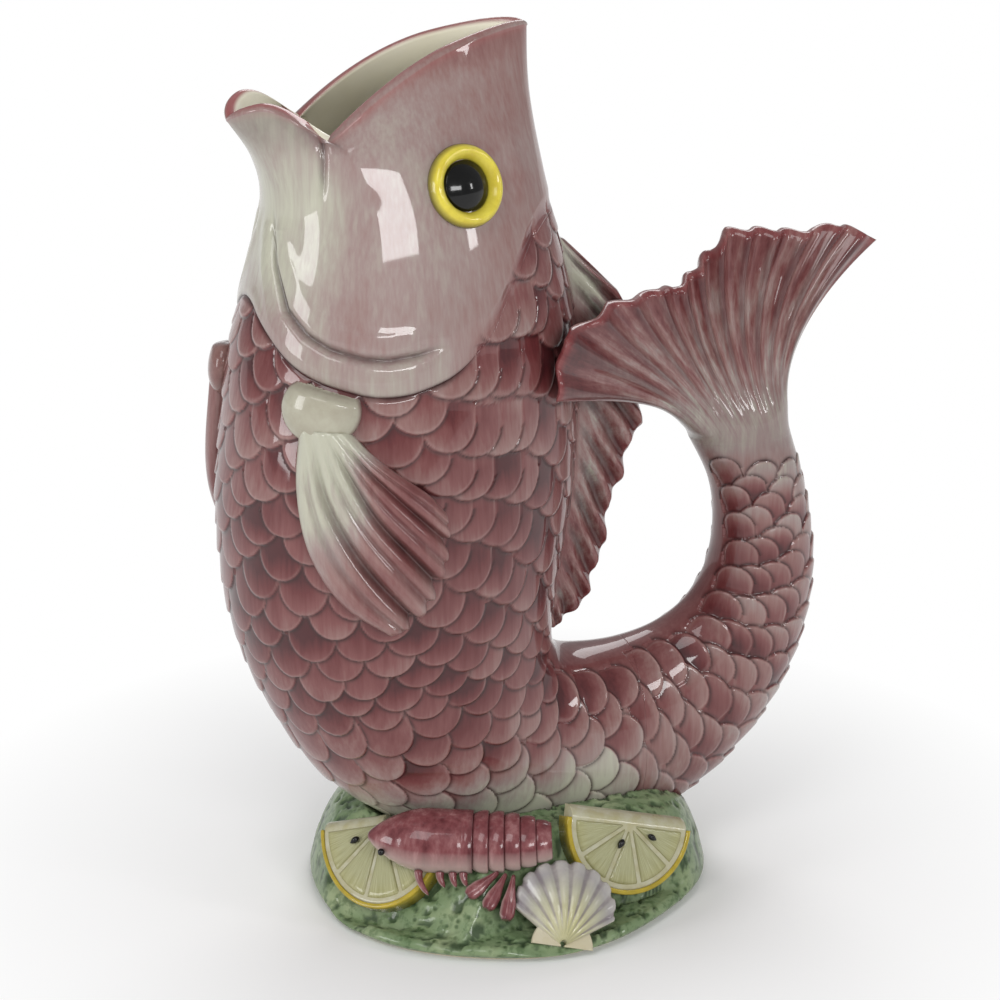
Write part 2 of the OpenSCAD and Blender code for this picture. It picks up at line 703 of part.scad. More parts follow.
// Half-round relief along a path in the seat plane. Each stop holds (x, y), the half width and the rise.
module relief(stops, n) {
    rings = [
        for (i = [0 : len(stops) - 1])
            let (
                s = stops[i],
                before = stops[max(0, i - 1)],
                after = stops[min(len(stops) - 1, i + 1)],
                d = unit([after[0] - before[0], after[1] - before[1]]),
                v = [-d[1], d[0]]
            )
            [
                for (j = [0 : n])
                    let (q = 180 * j / n)
                    [s[0] - v[0] * s[2] * cos(q), s[1] - v[1] * s[2] * cos(q), PAD_EDGE_T + s[3] * sin(q)],
                for (j = [n : -1 : 0])
                    let (q = 180 * j / n)
                    [s[0] - v[0] * s[2] * cos(q), s[1] - v[1] * s[2] * cos(q), 0]
            ]
    ];
    ring_solid(rings);
}

SHRIMP_NOSE = -36;
function carapace_end() = SHRIMP_NOSE + carapace_l;
function shrimp_line(x) = 6 + 0.0012 * x * x;
function carapace_share(u) = pow(sin(90 * min(1, u / 0.62)), 0.7) - 0.04 * u;
module shrimp_carapace() {
    color(dark_rose)
        seated(SHRIMP)
            relief([
                for (u = [0.01, 0.06, 0.16, 0.3, 0.48, 0.66, 0.84, 1])
                    let (x = SHRIMP_NOSE + u * carapace_l, f = carapace_share(u))
                    [x, shrimp_line(x), carapace_w / 2 * f, carapace_rise * f]
            ], 10);
}

// Abdomen rings: each is widest at its rear edge and the row tapers toward the tail
module shrimp_abdomen() {
    pitch = abdomen_l / abdomen_rings;
    color(dark_rose)
        seated(SHRIMP)
            for (k = [0 : abdomen_rings - 1])
                relief([
                    for (u = [0, 0.35, 0.8, 1])
                        let (
                            x = carapace_end() + seat_gap + (k + u) * (pitch - seat_gap) + k * seat_gap,
                            taper = 0.96 - 0.42 * pow((k + u) / abdomen_rings, 2.6),
                            f = taper * (0.92 + 0.08 * sin(110 * u))
                        )
                        [x, shrimp_line(x), carapace_w / 2 * f, carapace_rise * f]
                ], 8);
}

// Three blades that curl under the end of the abdomen. Each row holds a direction and a share of the length.
TAIL_BLADES = [[-141, 0.86], [-117, 0.9], [-98, 1.02]];
module shrimp_tail_fan() {
    x0 = carapace_end() + abdomen_l * 0.46;
    y0 = shrimp_line(x0) - carapace_w / 2 + 1.8;
    color(dark_rose)
        seated(SHRIMP)
            for (k = [0 : 2])
                let (
                    l = tail_blade_l * TAIL_BLADES[k][1],
                    d = l * [cos(TAIL_BLADES[k][0]), sin(TAIL_BLADES[k][0])],
                    shift = 2.2 * (k - 1)
                )
                relief([
                    for (u = [0.12, 0.35, 0.65, 0.9, 1])
                        let (f = lookup(u, [[0, 0.5], [0.65, 1], [0.9, 0.75], [1, 0.32]]))
                        [x0 + shift + d[0] * u, y0 + d[1] * u, 2.7 * f * u + 0.4, 2.2]
                ], 6);
}

// Each leg has a place along the carapace, a length and a lean
LEGS = [[0.5, 8.5, 4], [0.7, 5, 2], [0.82, 4.8, 1.5], [0.92, 4.4, 1.5]];
module shrimp_legs() {
    color(dark_rose)
        seated(SHRIMP)
            for (g = LEGS)
                let (
                    x0 = SHRIMP_NOSE + g[0] * carapace_l,
                    y0 = shrimp_line(x0) - carapace_share(g[0]) * carapace_w / 2 - seat_gap
                )
                relief([
                    for (u = [0, 0.35, 0.7, 1])
                        [x0 + g[2] * u * u, y0 - g[1] * u, 1.6 - 0.8 * u, 2.4 - 1.2 * u]
                ], 6);
}

// The eye stands on the side of the nose
EYE_ALONG = 0.15;
EYE_UP = 30;
module shrimp_eye() {
    f = carapace_share(EYE_ALONG);
    x = SHRIMP_NOSE + EYE_ALONG * carapace_l;
    side = [-cos(EYE_UP) * carapace_w / 2, sin(EYE_UP) * carapace_rise] * f;
    out = unit([-cos(EYE_UP) / carapace_w * 2, sin(EYE_UP) / carapace_rise]);
    lift = side + (shrimp_eye_d / 2 + seat_gap) * out;
    color("black")
        seated(SHRIMP)
            translate([x, shrimp_line(x) + lift[0], PAD_EDGE_T + lift[1]])
                sphere(d = shrimp_eye_d);
}

// Scallop: ribs spread from the hinge, and a small ear stands on each side of it
EAR_SPAN = 90;
SHELL_SPAN = 58;
function shell_ray(q) =
    let (f = abs(q) / SHELL_SPAN)
    f <= 1 ? scallop_l * lerp(1, scallop_w / scallop_l * 0.62, pow(f, 2.2)) : scallop_l * 0.36;
function scallop_point(r, s, raised) =
    let (
        q = lerp(EAR_SPAN, -EAR_SPAN, s),
        ray = r * shell_ray(q),
        on_shell = abs(q) < SHELL_SPAN,
        dome = on_shell ? scallop_rise * bump(0.1 + 0.78 * r) * cos(80 * q / SHELL_SPAN) : 0,
        rib = on_shell ? 0.6 * r * cos(180 * scallop_ribs * (1 + q / SHELL_SPAN)) : 0
    )
    [ray * sin(q), ray * cos(q) - scallop_l * 0.48, raised ? 1.4 + dome + rib : 0];

module scallop_shell() {
    across = 46;
    steps = 5;
    rings = [
        for (i = [0 : steps])
            let (r = lerp(0.08, 1, i / steps))
            [
                for (k = [0 : across]) scallop_point(r, k / across, true),
                for (k = [across : -1 : 0]) scallop_point(r, k / across, false)
            ]
    ];
    color(cream) seated(SCALLOP) ring_solid(rings);
}

head_shell();
body_shell();
tail_handle();
tail_fin();
back_fin();
left_side_fin();
right_side_fin();
left_fin_root();
right_fin_root();
left_eye_ring();
right_eye_ring();
left_pupil();
right_pupil();
base_mound();
foot();
left_lemon_rind();
left_lemon_pith();
left_lemon_segments();
right_lemon_rind();
right_lemon_pith();
right_lemon_segments();
lemon_seeds();
shrimp_carapace();
shrimp_abdomen();
shrimp_tail_fan();
shrimp_legs();
shrimp_eye();
scallop_shell();
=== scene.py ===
"""Glazed gurgle jug in the form of a fish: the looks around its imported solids."""

import math

import bpy
import numpy as np
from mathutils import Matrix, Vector

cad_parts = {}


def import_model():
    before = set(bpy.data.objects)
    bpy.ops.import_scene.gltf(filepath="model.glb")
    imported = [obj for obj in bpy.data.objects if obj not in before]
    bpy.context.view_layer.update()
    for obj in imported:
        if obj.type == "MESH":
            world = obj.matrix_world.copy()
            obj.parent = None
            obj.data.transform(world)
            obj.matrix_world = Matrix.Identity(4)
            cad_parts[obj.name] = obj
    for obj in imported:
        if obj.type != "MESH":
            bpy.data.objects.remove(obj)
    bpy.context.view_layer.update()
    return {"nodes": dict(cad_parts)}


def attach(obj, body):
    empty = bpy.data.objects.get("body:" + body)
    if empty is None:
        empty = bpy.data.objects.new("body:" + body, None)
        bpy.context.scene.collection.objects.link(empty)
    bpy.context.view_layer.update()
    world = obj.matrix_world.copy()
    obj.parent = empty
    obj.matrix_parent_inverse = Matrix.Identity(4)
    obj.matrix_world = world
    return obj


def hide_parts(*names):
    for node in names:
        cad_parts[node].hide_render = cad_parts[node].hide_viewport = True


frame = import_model()

MM = 0.001

# Cross-sections of the fish from the mouth to the end of the tail, in millimetres: belly point (x, z),
# back point (x, z), half width, and how far the width is drawn toward the belly
SECTIONS = np.array([
    [-99.5, 291, 7, 317, 20, 0.45],
    [-90, 276, 7.5, 293, 30, 0.32],
    [-87, 261, 12, 268, 37, 0.2],
    [-91.5, 240, 18.5, 242, 43, 0.16],
    [-99.5, 212, 24.5, 212, 48, 0.15],
    [-104.5, 178, 25.5, 180, 51.5, 0.15],
    [-106.5, 148, 23.5, 152, 52.5, 0.14],
    [-103, 112, 18.5, 124, 51, 0.1],
    [-91, 79, 15.5, 104, 47, 0.05],
    [-69, 46, 16.5, 93, 41, 0],
    [-33, 22, 22, 87.5, 34, 0],
    [8, 12, 32, 86, 29, 0],
    [45, 12, 46, 86.5, 26, 0],
    [74, 22, 60, 90, 23.5, 0],
    [100, 45, 72, 98, 21.5, 0],
    [116, 72, 79.5, 111.5, 19.5, 0],
    [122.5, 103, 81.5, 127, 18, 0],
    [119, 135, 79, 143.5, 16.5, 0],
    [111, 162, 70.5, 161, 14.5, 0],
])
LAST = len(SECTIONS) - 1
TAIL_ROOT = 12
# Gill edge: angle from the belly, and section
GILL_EDGE = np.array([[0, 3.3], [15, 3.55], [40, 4.05], [70, 4.28], [88, 4.16], [98, 4], [107, 3.65],
                      [115, 3.34], [122, 2.98], [140, 2.62], [180, 2.5]])
WALL = 4.5
SEAT_GAP = 0.25
# Mouth: angle of its corner, spread of the notch there below and above it, how many sections down the rim
# shows, how high the lips arch and how deep the notch is
CORNER = 62
LOWER_SPREAD, UPPER_SPREAD = 34, 54
RIM_FADE, LIP_CROWN, MOUTH_NOTCH = 1.3, 4, 13


# Small helpers

def lerp(a, b, u):
    return a + (b - a) * u


def smooth(lo, hi, x):
    u = np.clip((x - lo) / (hi - lo), 0, 1)
    return u * u * (3 - 2 * u)


def bump(u):
    """Arch over 0 to 1."""
    return np.sin(np.pi * np.clip(u, 0, 1))


def bell(x, width):
    """Bell curve that is 1 at 0."""
    return np.exp(-(x / width) ** 2)


def cosd(a):
    return np.cos(np.radians(a))


def sind(a):
    return np.sin(np.radians(a))


def unit(v):
    return v / np.linalg.norm(v, axis=-1, keepdims=True)


def rounded(u):
    """Quarter-round from 0 to 1."""
    return np.sqrt(np.clip(1 - (1 - np.clip(u, 0, 1)) ** 2, 0, 1))


def fold(a):
    """Angle from the belly, on either side."""
    a = np.mod(a, 360)
    return np.where(a <= 180, a, 360 - a)


def lookup(x, pairs):
    """Value at x on straight lines between the pairs."""
    pairs = np.asarray(pairs, float)
    return np.interp(x, pairs[:, 0], pairs[:, 1])


def hash01(i, seed):
    """Random number from 0 to 1 for whole numbers i."""
    h = i[..., 0] * 374761393 + i[..., 1] * 668265263 + i[..., 2] * 1440662683 + seed * 974634777
    h = h & 0xFFFFFFFF
    h = ((h ^ (h >> 13)) * 1274126177) & 0xFFFFFFFF
    return ((h ^ (h >> 16)) & 0xFFFF) / 65535.0


def noise(p, size, seed=0):
    """Smooth noise from 0 to 1 at points p, with cells of that size."""
    q = np.asarray(p, float) / size
    i = np.floor(q).astype(np.int64)
    f = q - i
    f = f * f * (3 - 2 * f)
    total = 0
    for corner in np.ndindex(2, 2, 2):
        c = np.array(corner)
        w = np.prod(np.where(c == 1, f, 1 - f), axis=-1)
        total = total + w * hash01(i + c, seed)
    return total


def flat_noise(x, y, seed):
    """Smooth noise over a plane, with cells of size 1."""
    return noise(np.stack([x, y, 0 * x], -1), 1.0, seed)


def padded_rows(rows):
    """Rows with one more at each end, in line with the last two."""
    return np.concatenate([2 * rows[:1] - rows[1:2], rows, 2 * rows[-1:] - rows[-2:-1]])


def cubic(rows, i, u):
    """Smooth curve through padded rows, at share u of the way from row i to the next."""
    a, b, c, d = (rows[i + k] for k in range(4))
    return (2 * b + (c - a) * u + (2 * a - 5 * b + 4 * c - d) * u ** 2 + (3 * b - a - 3 * c + d) * u ** 3) / 2


def spline(values, u):
    """Smooth curve through evenly spaced values, at u from 0 to 1. The first axis runs along the curve."""
    at = np.clip(u, 0, 1) * (len(values) - 1)
    i = np.clip(np.floor(at).astype(int), 0, len(values) - 2)
    return cubic(padded_rows(values), i, (at - i).reshape(at.shape + (1,) * (values.ndim - 1)))


# The skin of the fish

PADDED = padded_rows(SECTIONS)


def along(t):
    """Cross-section at t."""
    t = np.asarray(t, float)
    i = np.clip(np.floor(t).astype(int), 0, LAST - 1)
    return cubic(PADDED, i, (t - i)[..., None])


def rim_lift(t, f):
    """Height that the lips and the notch at the corner of the mouth add to the rim."""
    notch = np.clip(1 - np.abs(f - CORNER) / np.where(f < CORNER, LOWER_SPREAD, UPPER_SPREAD), 0, 1)
    arch = bump(np.where(f < CORNER, f / CORNER, (f - CORNER) / (180 - CORNER)))
    fade = np.clip(1 - t / RIM_FADE, 0, None) ** 2
    return fade * (LIP_CROWN * arch - MOUTH_NOTCH * notch ** 2)


def skin(t, a, out=0.0):
    """Point at section t and angle a: 0 is the belly, 90 the left side and 180 the back."""
    t, a = np.broadcast_arrays(np.asarray(t, float), np.asarray(a, float))
    s = along(t)
    mid = (s[..., 0:2] + s[..., 2:4]) / 2
    reach = (s[..., 0:2] - s[..., 2:4]) / 2
    grow = 1 + out / np.linalg.norm(reach, axis=-1)
    p = mid + reach * (grow * cosd(a))[..., None]
    y = -(s[..., 4] + out) * sind(a) * (1 + s[..., 5] * cosd(a))
    return np.stack([p[..., 0], y, p[..., 1] + rim_lift(t, fold(a))], axis=-1)


def skin_down(t, a):
    return (skin(t + 0.02, a) - skin(t - 0.02, a)) / 0.04


def skin_round(t, a):
    return (skin(t, a + 1) - skin(t, a - 1)) / 2


def skin_normal(t, a):
    return unit(np.cross(skin_down(t, a), skin_round(t, a)))


def on_skin(t, a, x, y, h):
    """Points at x down and y round from place (t, a) on the skin, raised by h."""
    t, a = np.float64(t), np.float64(a)
    n = skin_normal(t, a)
    u = unit(skin_down(t, a))
    v = np.cross(n, u)
    x, y = np.broadcast_arrays(x, y)
    goal = skin(t, a) + x[..., None] * u + y[..., None] * v
    qt = np.full(x.shape, t)
    qa = np.full(x.shape, a)
    for _ in range(4):
        r = goal - skin(qt, qa)
        dt, da = skin_down(qt, qa), skin_round(qt, qa)
        det = (dt @ u) * (da @ v) - (da @ u) * (dt @ v)
        step_t = ((r @ u) * (da @ v) - (da @ u) * (r @ v)) / det
        step_a = ((dt @ u) * (r @ v) - (r @ u) * (dt @ v)) / det
        qt, qa = qt + step_t, qa + step_a
    return skin(qt, qa) + np.asarray(h)[..., None] * skin_normal(qt, qa)


def gill_edge(f):
    """Where the gill edge runs, with its corners eased."""
    return sum(lookup(np.abs(np.asarray(f, float) + step), GILL_EDGE) for step in (-8, -4, 0, 4, 8)) / 5


# Meshes

def signed_volume(points, faces):
    total = 0.0
    for f in faces:
        for k in range(1, f.shape[1] - 1):
            a, b, c = points[f[:, 0]], points[f[:, k]], points[f[:, k + 1]]
            total += np.einsum("ij,ij->", a, np.cross(b, c))
    return total


def add_object(name, data):
    obj = bpy.data.objects.new(name, data)
    bpy.context.scene.collection.objects.link(obj)
    return obj


def mesh_object(name, points, faces, marks):
    """Closed mesh from points in millimetres, faced outward, with marks that guide its glaze.

    Each run of sides among the faces is followed by its two flat caps.
    """
    if signed_volume(points, faces) < 0:
        faces = [f[:, ::-1] for f in faces]
    flat = np.concatenate([f.ravel() for f in faces])
    totals = np.concatenate([np.full(len(f), f.shape[1]) for f in faces])
    starts = np.concatenate([[0], np.cumsum(totals)[:-1]])
    sides = np.concatenate([np.full(len(f), i % 3 == 0) for i, f in enumerate(faces)])
    mesh = bpy.data.meshes.new(name)
    mesh.vertices.add(len(points))
    mesh.vertices.foreach_set("co", (points * MM).astype(np.float32).ravel())
    mesh.loops.add(len(flat))
    mesh.loops.foreach_set("vertex_index", flat.astype(np.int32))
    mesh.polygons.add(len(totals))
    mesh.polygons.foreach_set("loop_start", starts.astype(np.int32))
    mesh.polygons.foreach_set("use_smooth", sides)
    for key, values in marks.items():
        layer = mesh.attributes.new(key, "FLOAT", "POINT")
        layer.data.foreach_set("value", values.astype(np.float32))
    mesh.update(calc_edges=True)
    mesh.validate()
    return add_object(name, mesh)


def ring_faces(rows, n, loop):
    """Quads between rows of n points each."""
    top = rows if loop else rows - 1
    i, j = np.meshgrid(np.arange(top), np.arange(n), indexing="ij")
    k, m = (i + 1) % rows, (j + 1) % n
    return np.stack([i * n + j, i * n + m, k * n + m, k * n + j], axis=-1).reshape(-1, 4)


def zip_cap(first, n):
    """Quads that close a flat ring by joining each point to the one opposite."""
    j = np.arange(n // 2 - 1)
    return first + np.stack([j, j + 1, n - 2 - j, n - 1 - j], axis=-1)


def fan_cap(first, n, middle):
    """Triangles that close a ring round a middle point."""
    j = np.arange(n)
    return np.stack([first + j, first + (j + 1) % n, np.full(n, middle)], axis=-1)


def ring_mesh(rings, marks, loop, cap):
    """Points, faces and marks of a solid through rings, shape (rows, n, 3). Marks spread to (rows, n)."""
    rows, n, _ = rings.shape
    points = rings.reshape(-1, 3)
    faces = [ring_faces(rows, n, loop)]
    marks = {k: np.broadcast_to(v, (rows, n)).ravel() for k, v in marks.items()}
    last = (rows - 1) * n
    if loop:
        return points, faces, marks
    if cap == "zip":
        return points, faces + [zip_cap(0, n)[:, ::-1], zip_cap(last, n)], marks
    points = np.vstack([points, rings[0].mean(0), rings[-1].mean(0)])
    faces += [fan_cap(0, n, rows * n)[:, ::-1], fan_cap(last, n, rows * n + 1)]
    return points, faces, {k: np.append(v, [v[:n].mean(), v[-n:].mean()]) for k, v in marks.items()}


def ring_solids(name, solids, loop=False, cap="zip"):
    """One piece from closed solids, each given as its rings and its marks."""
    points, faces, marks = [], [], {}
    first = 0
    for rings, own in solids:
        p, f, m = ring_mesh(rings, own, loop, cap)
        points.append(p)
        faces += [run + first for run in f]
        first += len(p)
        for key, values in m.items():
            marks.setdefault(key, []).append(values)
    return mesh_object(name, np.concatenate(points), faces, {k: np.concatenate(v) for k, v in marks.items()})


def ring_solid(name, rings, loop=False, cap="zip", marks=None):
    return ring_solids(name, [(rings, marks or {})], loop, cap)


def over_and_under(top, z):
    """Rings that run over the top and back under it at height z."""
    under = top[:, ::-1].copy()
    under[..., 2] = z
    return np.concatenate([top, under], axis=1)


def two_faced(v, shape):
    """Marks for the face of a piece and, in reverse, for its underside."""
    v = np.broadcast_to(v, shape)
    return np.concatenate([v, v[:, ::-1]], axis=1)


def sided(rings, mirror):
    """Rings on the left side of the fish, or their counterparts on the right."""
    return rings * [1, -1 if mirror else 1, 1]


# Scales: rows of plates, each with a free edge toward the tail

SCALE_RISE = 1.2
# How far the tip of a plate stands out, in rows, and how much its place varies along and round the fish
SCALE_SCOOP, SCALE_SHIFT, SCALE_SWAY = 0.3, 0.22, 0.16
# Level of the skin between the plates, and the section where they end
SCALE_BED, SCALE_END = -0.75, 17.7
# Angle at which the smooth inside of the grip starts, by section
GRIP_SMOOTH = [[8.2, 172], [9, 148], [10, 140], [13, 140], [15, 146], [18, 150]]
# Each zone holds where it starts and ends, its plates in a row, and its rows
SCALE_ZONES = ((None, 8.2, 20, 16), (8.2, 9.8, 17, 4), (9.8, TAIL_ROOT, 12, 6), (TAIL_ROOT, SCALE_END, 9, 20))
# Glaze at the free edge of a plate: width of the dark line outside it, pooled glaze with painted shade, how
# far in the edge is rounded, and the place and width of the pale rim, a painted highlight
GROOVE_POOL_AND_SHADE_W, EDGE_ROUND, RIM_AT, RIM_W = 0.95, 1.1, 0.65, 0.4


def lay_scales():
    """Tips of all the scales, from the head to the tail, with their own axes and sizes."""
    scales = []
    for start, end, plates, rows in SCALE_ZONES:
        for row in range(rows):
            a = 360 * (np.arange(plates) + (row % 2) / 2) / plates
            f = fold(a)
            begin = gill_edge(f) if start is None else np.full(plates, float(start))
            step = (end - begin) / rows
            key = np.stack([np.arange(plates), np.full(plates, row), np.full(plates, plates)], -1)
            t = begin + step * (row + 0.5 + SCALE_SCOOP + SCALE_SHIFT * (hash01(key, 31) - 0.5))
            a = a + 360 / plates * SCALE_SWAY * (hash01(key, 32) - 0.5)
            down = unit(skin_down(t, a))
            normal = skin_normal(t, a)
            width = np.linalg.norm(skin(t, a + 180 / plates) - skin(t, a - 180 / plates), axis=1)
            pitch = np.linalg.norm(skin(t, a) - skin(t - step, a), axis=1)
            bare = f > lookup(t, GRIP_SMOOTH) + 2
            for j in np.flatnonzero(~bare):
                flat = smooth(11, 13, t[j])
                deep = min(lerp(1.2, 1.3, flat) * pitch[j], lerp(0.62, 0.52, flat) * width[j])
                side = np.cross(normal[j], down[j])
                scales.append((skin(t[j], a[j]), down[j], side, normal[j], width[j], pitch[j], deep))
    return scales


SCALES = lay_scales()


def scale_relief(p):
    """Depth of the scaled skin at points p, with the marks that guide the glaze, painted shade and highlights
    among them.
    """
    h = np.full(len(p), SCALE_BED)
    pool = np.zeros(len(p))
    rim = np.zeros(len(p))
    tint = np.full(len(p), 0.5)
    red_patch_and_shade = np.full(len(p), 0.25)
    for i in reversed(range(len(SCALES))):
        c, down, side, normal, w, pitch, deep = SCALES[i]
        wide = w * (0.515 + 0.03 * hash01(np.array([i, 2, 3]), 4))
        reach = 1.3 * max(w, 1.7 * pitch)
        k = np.flatnonzero((np.abs(p - c) < reach).all(1))
        d = p[k] - c
        x, y, z = d @ side, d @ down, d @ normal
        rho = np.where(y > -deep, np.hypot(x / wide, (y + deep) / deep), np.abs(x) / wide)
        inside = (rho < 1) & (y > -2.0 * pitch) & (z > -0.8 * w)
        g = (rho - 1) * np.minimum(deep, wide)
        out = (rho >= 1) & (g < 2.6) & (y > -1.1 * pitch) & (z > -0.8 * w)
        ko, go = k[out], g[out]
        # Dark pooled glaze with painted shade in the groove outside each free edge
        pool[ko] = np.maximum(pool[ko], bell(go, GROOVE_POOL_AND_SHADE_W))
        ki = k[inside]
        xi, yi, depth = x[inside], y[inside], -g[inside]
        lift = np.clip(1 + yi / (1.7 * pitch), 0, 1)
        new = SCALE_RISE * (lift - 1) - 0.3 * (xi / wide) ** 2 - 0.12
        share = rounded(depth / EDGE_ROUND)
        h[ki] = lerp(np.minimum(h[ki], new - 0.5), new, share)
        cover = smooth(0.0, 0.55, depth)
        pool[ki] *= 1 - cover
        # Painted highlight: a pale line just inside each free edge
        rim[ki] = lerp(rim[ki], bell(depth - RIM_AT, RIM_W), cover)
        tint[ki] = lerp(tint[ki], hash01(np.array([i, 11, 13]), 9), cover)
        # Random red on some plates, and painted shade toward the edge of the plate above
        red = 0.35 + 0.9 * hash01(np.array([i, 5, 7]), 17) ** 2
        patch = np.clip(-yi / (1.4 * pitch), 0, 1) * (1 - 0.5 * (xi / wide) ** 2)
        red_patch_and_shade[ki] = lerp(red_patch_and_shade[ki], red * patch, cover)
    return h, pool, rim, tint, red_patch_and_shade


def polyline_gap(p, places):
    """Distance from points p to a line through places (t, a) on the skin."""
    places = np.asarray(places, float)
    fine = np.linspace(0, len(places) - 1, 12 * (len(places) - 1) + 1)
    line = skin(np.interp(fine, np.arange(len(places)), places[:, 0]),
                np.interp(fine, np.arange(len(places)), places[:, 1]))
    best = np.full(len(p), 1e9)
    share = np.zeros(len(p))
    for i in range(len(line) - 1):
        a, b = line[i], line[i + 1]
        u = np.clip((p - a) @ (b - a) / ((b - a) @ (b - a)), 0, 1)
        d = np.linalg.norm(p - a - u[:, None] * (b - a), axis=1)
        closer = d < best
        best[closer] = d[closer]
        share[closer] = ((i + u) / (len(line) - 1))[closer]
    return best, share


# Points round the fish and round its tail, and rows down the outside and the inside of each shell
AROUND, TAIL_AROUND = 600, 300
HEAD_ROWS, BODY_ROWS, TAIL_ROWS = 190, 540, 330
HEAD_INSIDE, BODY_INSIDE, TAIL_INSIDE = 46, 60, 40
# Lines on the head, as places (section, angle): smile, crease from the corner of the mouth, and brow
SMILE = [[1.92, 11], [2.36, 12], [2.84, 18], [3.36, 29], [3.6, 39.5], [3.74, 49.5], [3.84, 62], [3.86, 70],
         [3.82, 80], [3.72, 90.5]]
CREASE = [[0.0, 62], [0.8, 50.5], [1.18, 46], [1.54, 43], [1.9, 41]]
BROW = [[1.0, 124], [1.35, 132], [1.9, 134], [2.4, 129]]
SMILE_DEPTH, CHEEK_RISE, CREASE_DEPTH, BROW_RISE, HEAD_WAVES = 2.1, 0.9, 1.5, 0.6, 0.5
# Share of red in the glaze by section, on the head and on the body
HEAD_TONES = [[0, 0.28], [0.8, 0.26], [1.6, 0.23], [2.6, 0.24], [3.5, 0.27], [4.2, 0.32]]
BODY_TONES = [[3, 0.41], [4.4, 0.43], [5.6, 0.49], [7, 0.5], [8.5, 0.48], [10, 0.38], [12, 0.34], [14, 0.34],
              [16, 0.32], [17, 0.27], [17.6, 0.21], [18, 0.19]]
# Painted shade where the tail runs into its fin
TAIL_END_SHADE = 0.3


def open_gill(f):
    """Share of the gill edge that has no step, where the scales run on up the head."""
    return smooth(93, 103, f)


def near_base(t, p):
    """Share by which the red gives way toward the base."""
    return smooth(72, 28, p[..., 2]) * smooth(13, 11, t)


def fish_tone(t, f, p):
    """Share of red in the glaze, from pale grey (0) to dark rose (1)."""
    head = lookup(t, HEAD_TONES)
    head += 0.1 * smooth(80, 125, f) + 0.05 * smooth(125, 170, f)
    head -= 0.18 * smooth(60, 40, f)
    head += 0.12 * smooth(60, 62, f) * smooth(0.5, 0.0, t)
    band = smooth(0.62, 0.25, gill_edge(f) - t) * smooth(112, 84, f)
    head = lerp(head, 0.2, 0.85 * band)
    body = lookup(t, BODY_TONES)
    body += 0.06 * smooth(70, 25, f) * smooth(4, 5, t) * smooth(8, 6.5, t)
    body -= 0.46 * near_base(t, p)
    body -= 0.16 * smooth(40, 5, f) * smooth(12.5, 15, t)
    body += 0.16 * smooth(125, 165, f) * smooth(8.5, 9.5, t) * smooth(17.6, 16.5, t)
    past = t - gill_edge(f)
    return lerp(head, body, lerp(past >= 0, smooth(-0.3, 0.5, past), open_gill(f)))


def skin_marks(p, shape):
    return (v.reshape(shape) for v in scale_relief(p.reshape(-1, 3)))


def mirrored(p):
    """The points' counterparts on the left side."""
    return p * [1, 0, 1] - np.abs(p * [0, 1, 0])


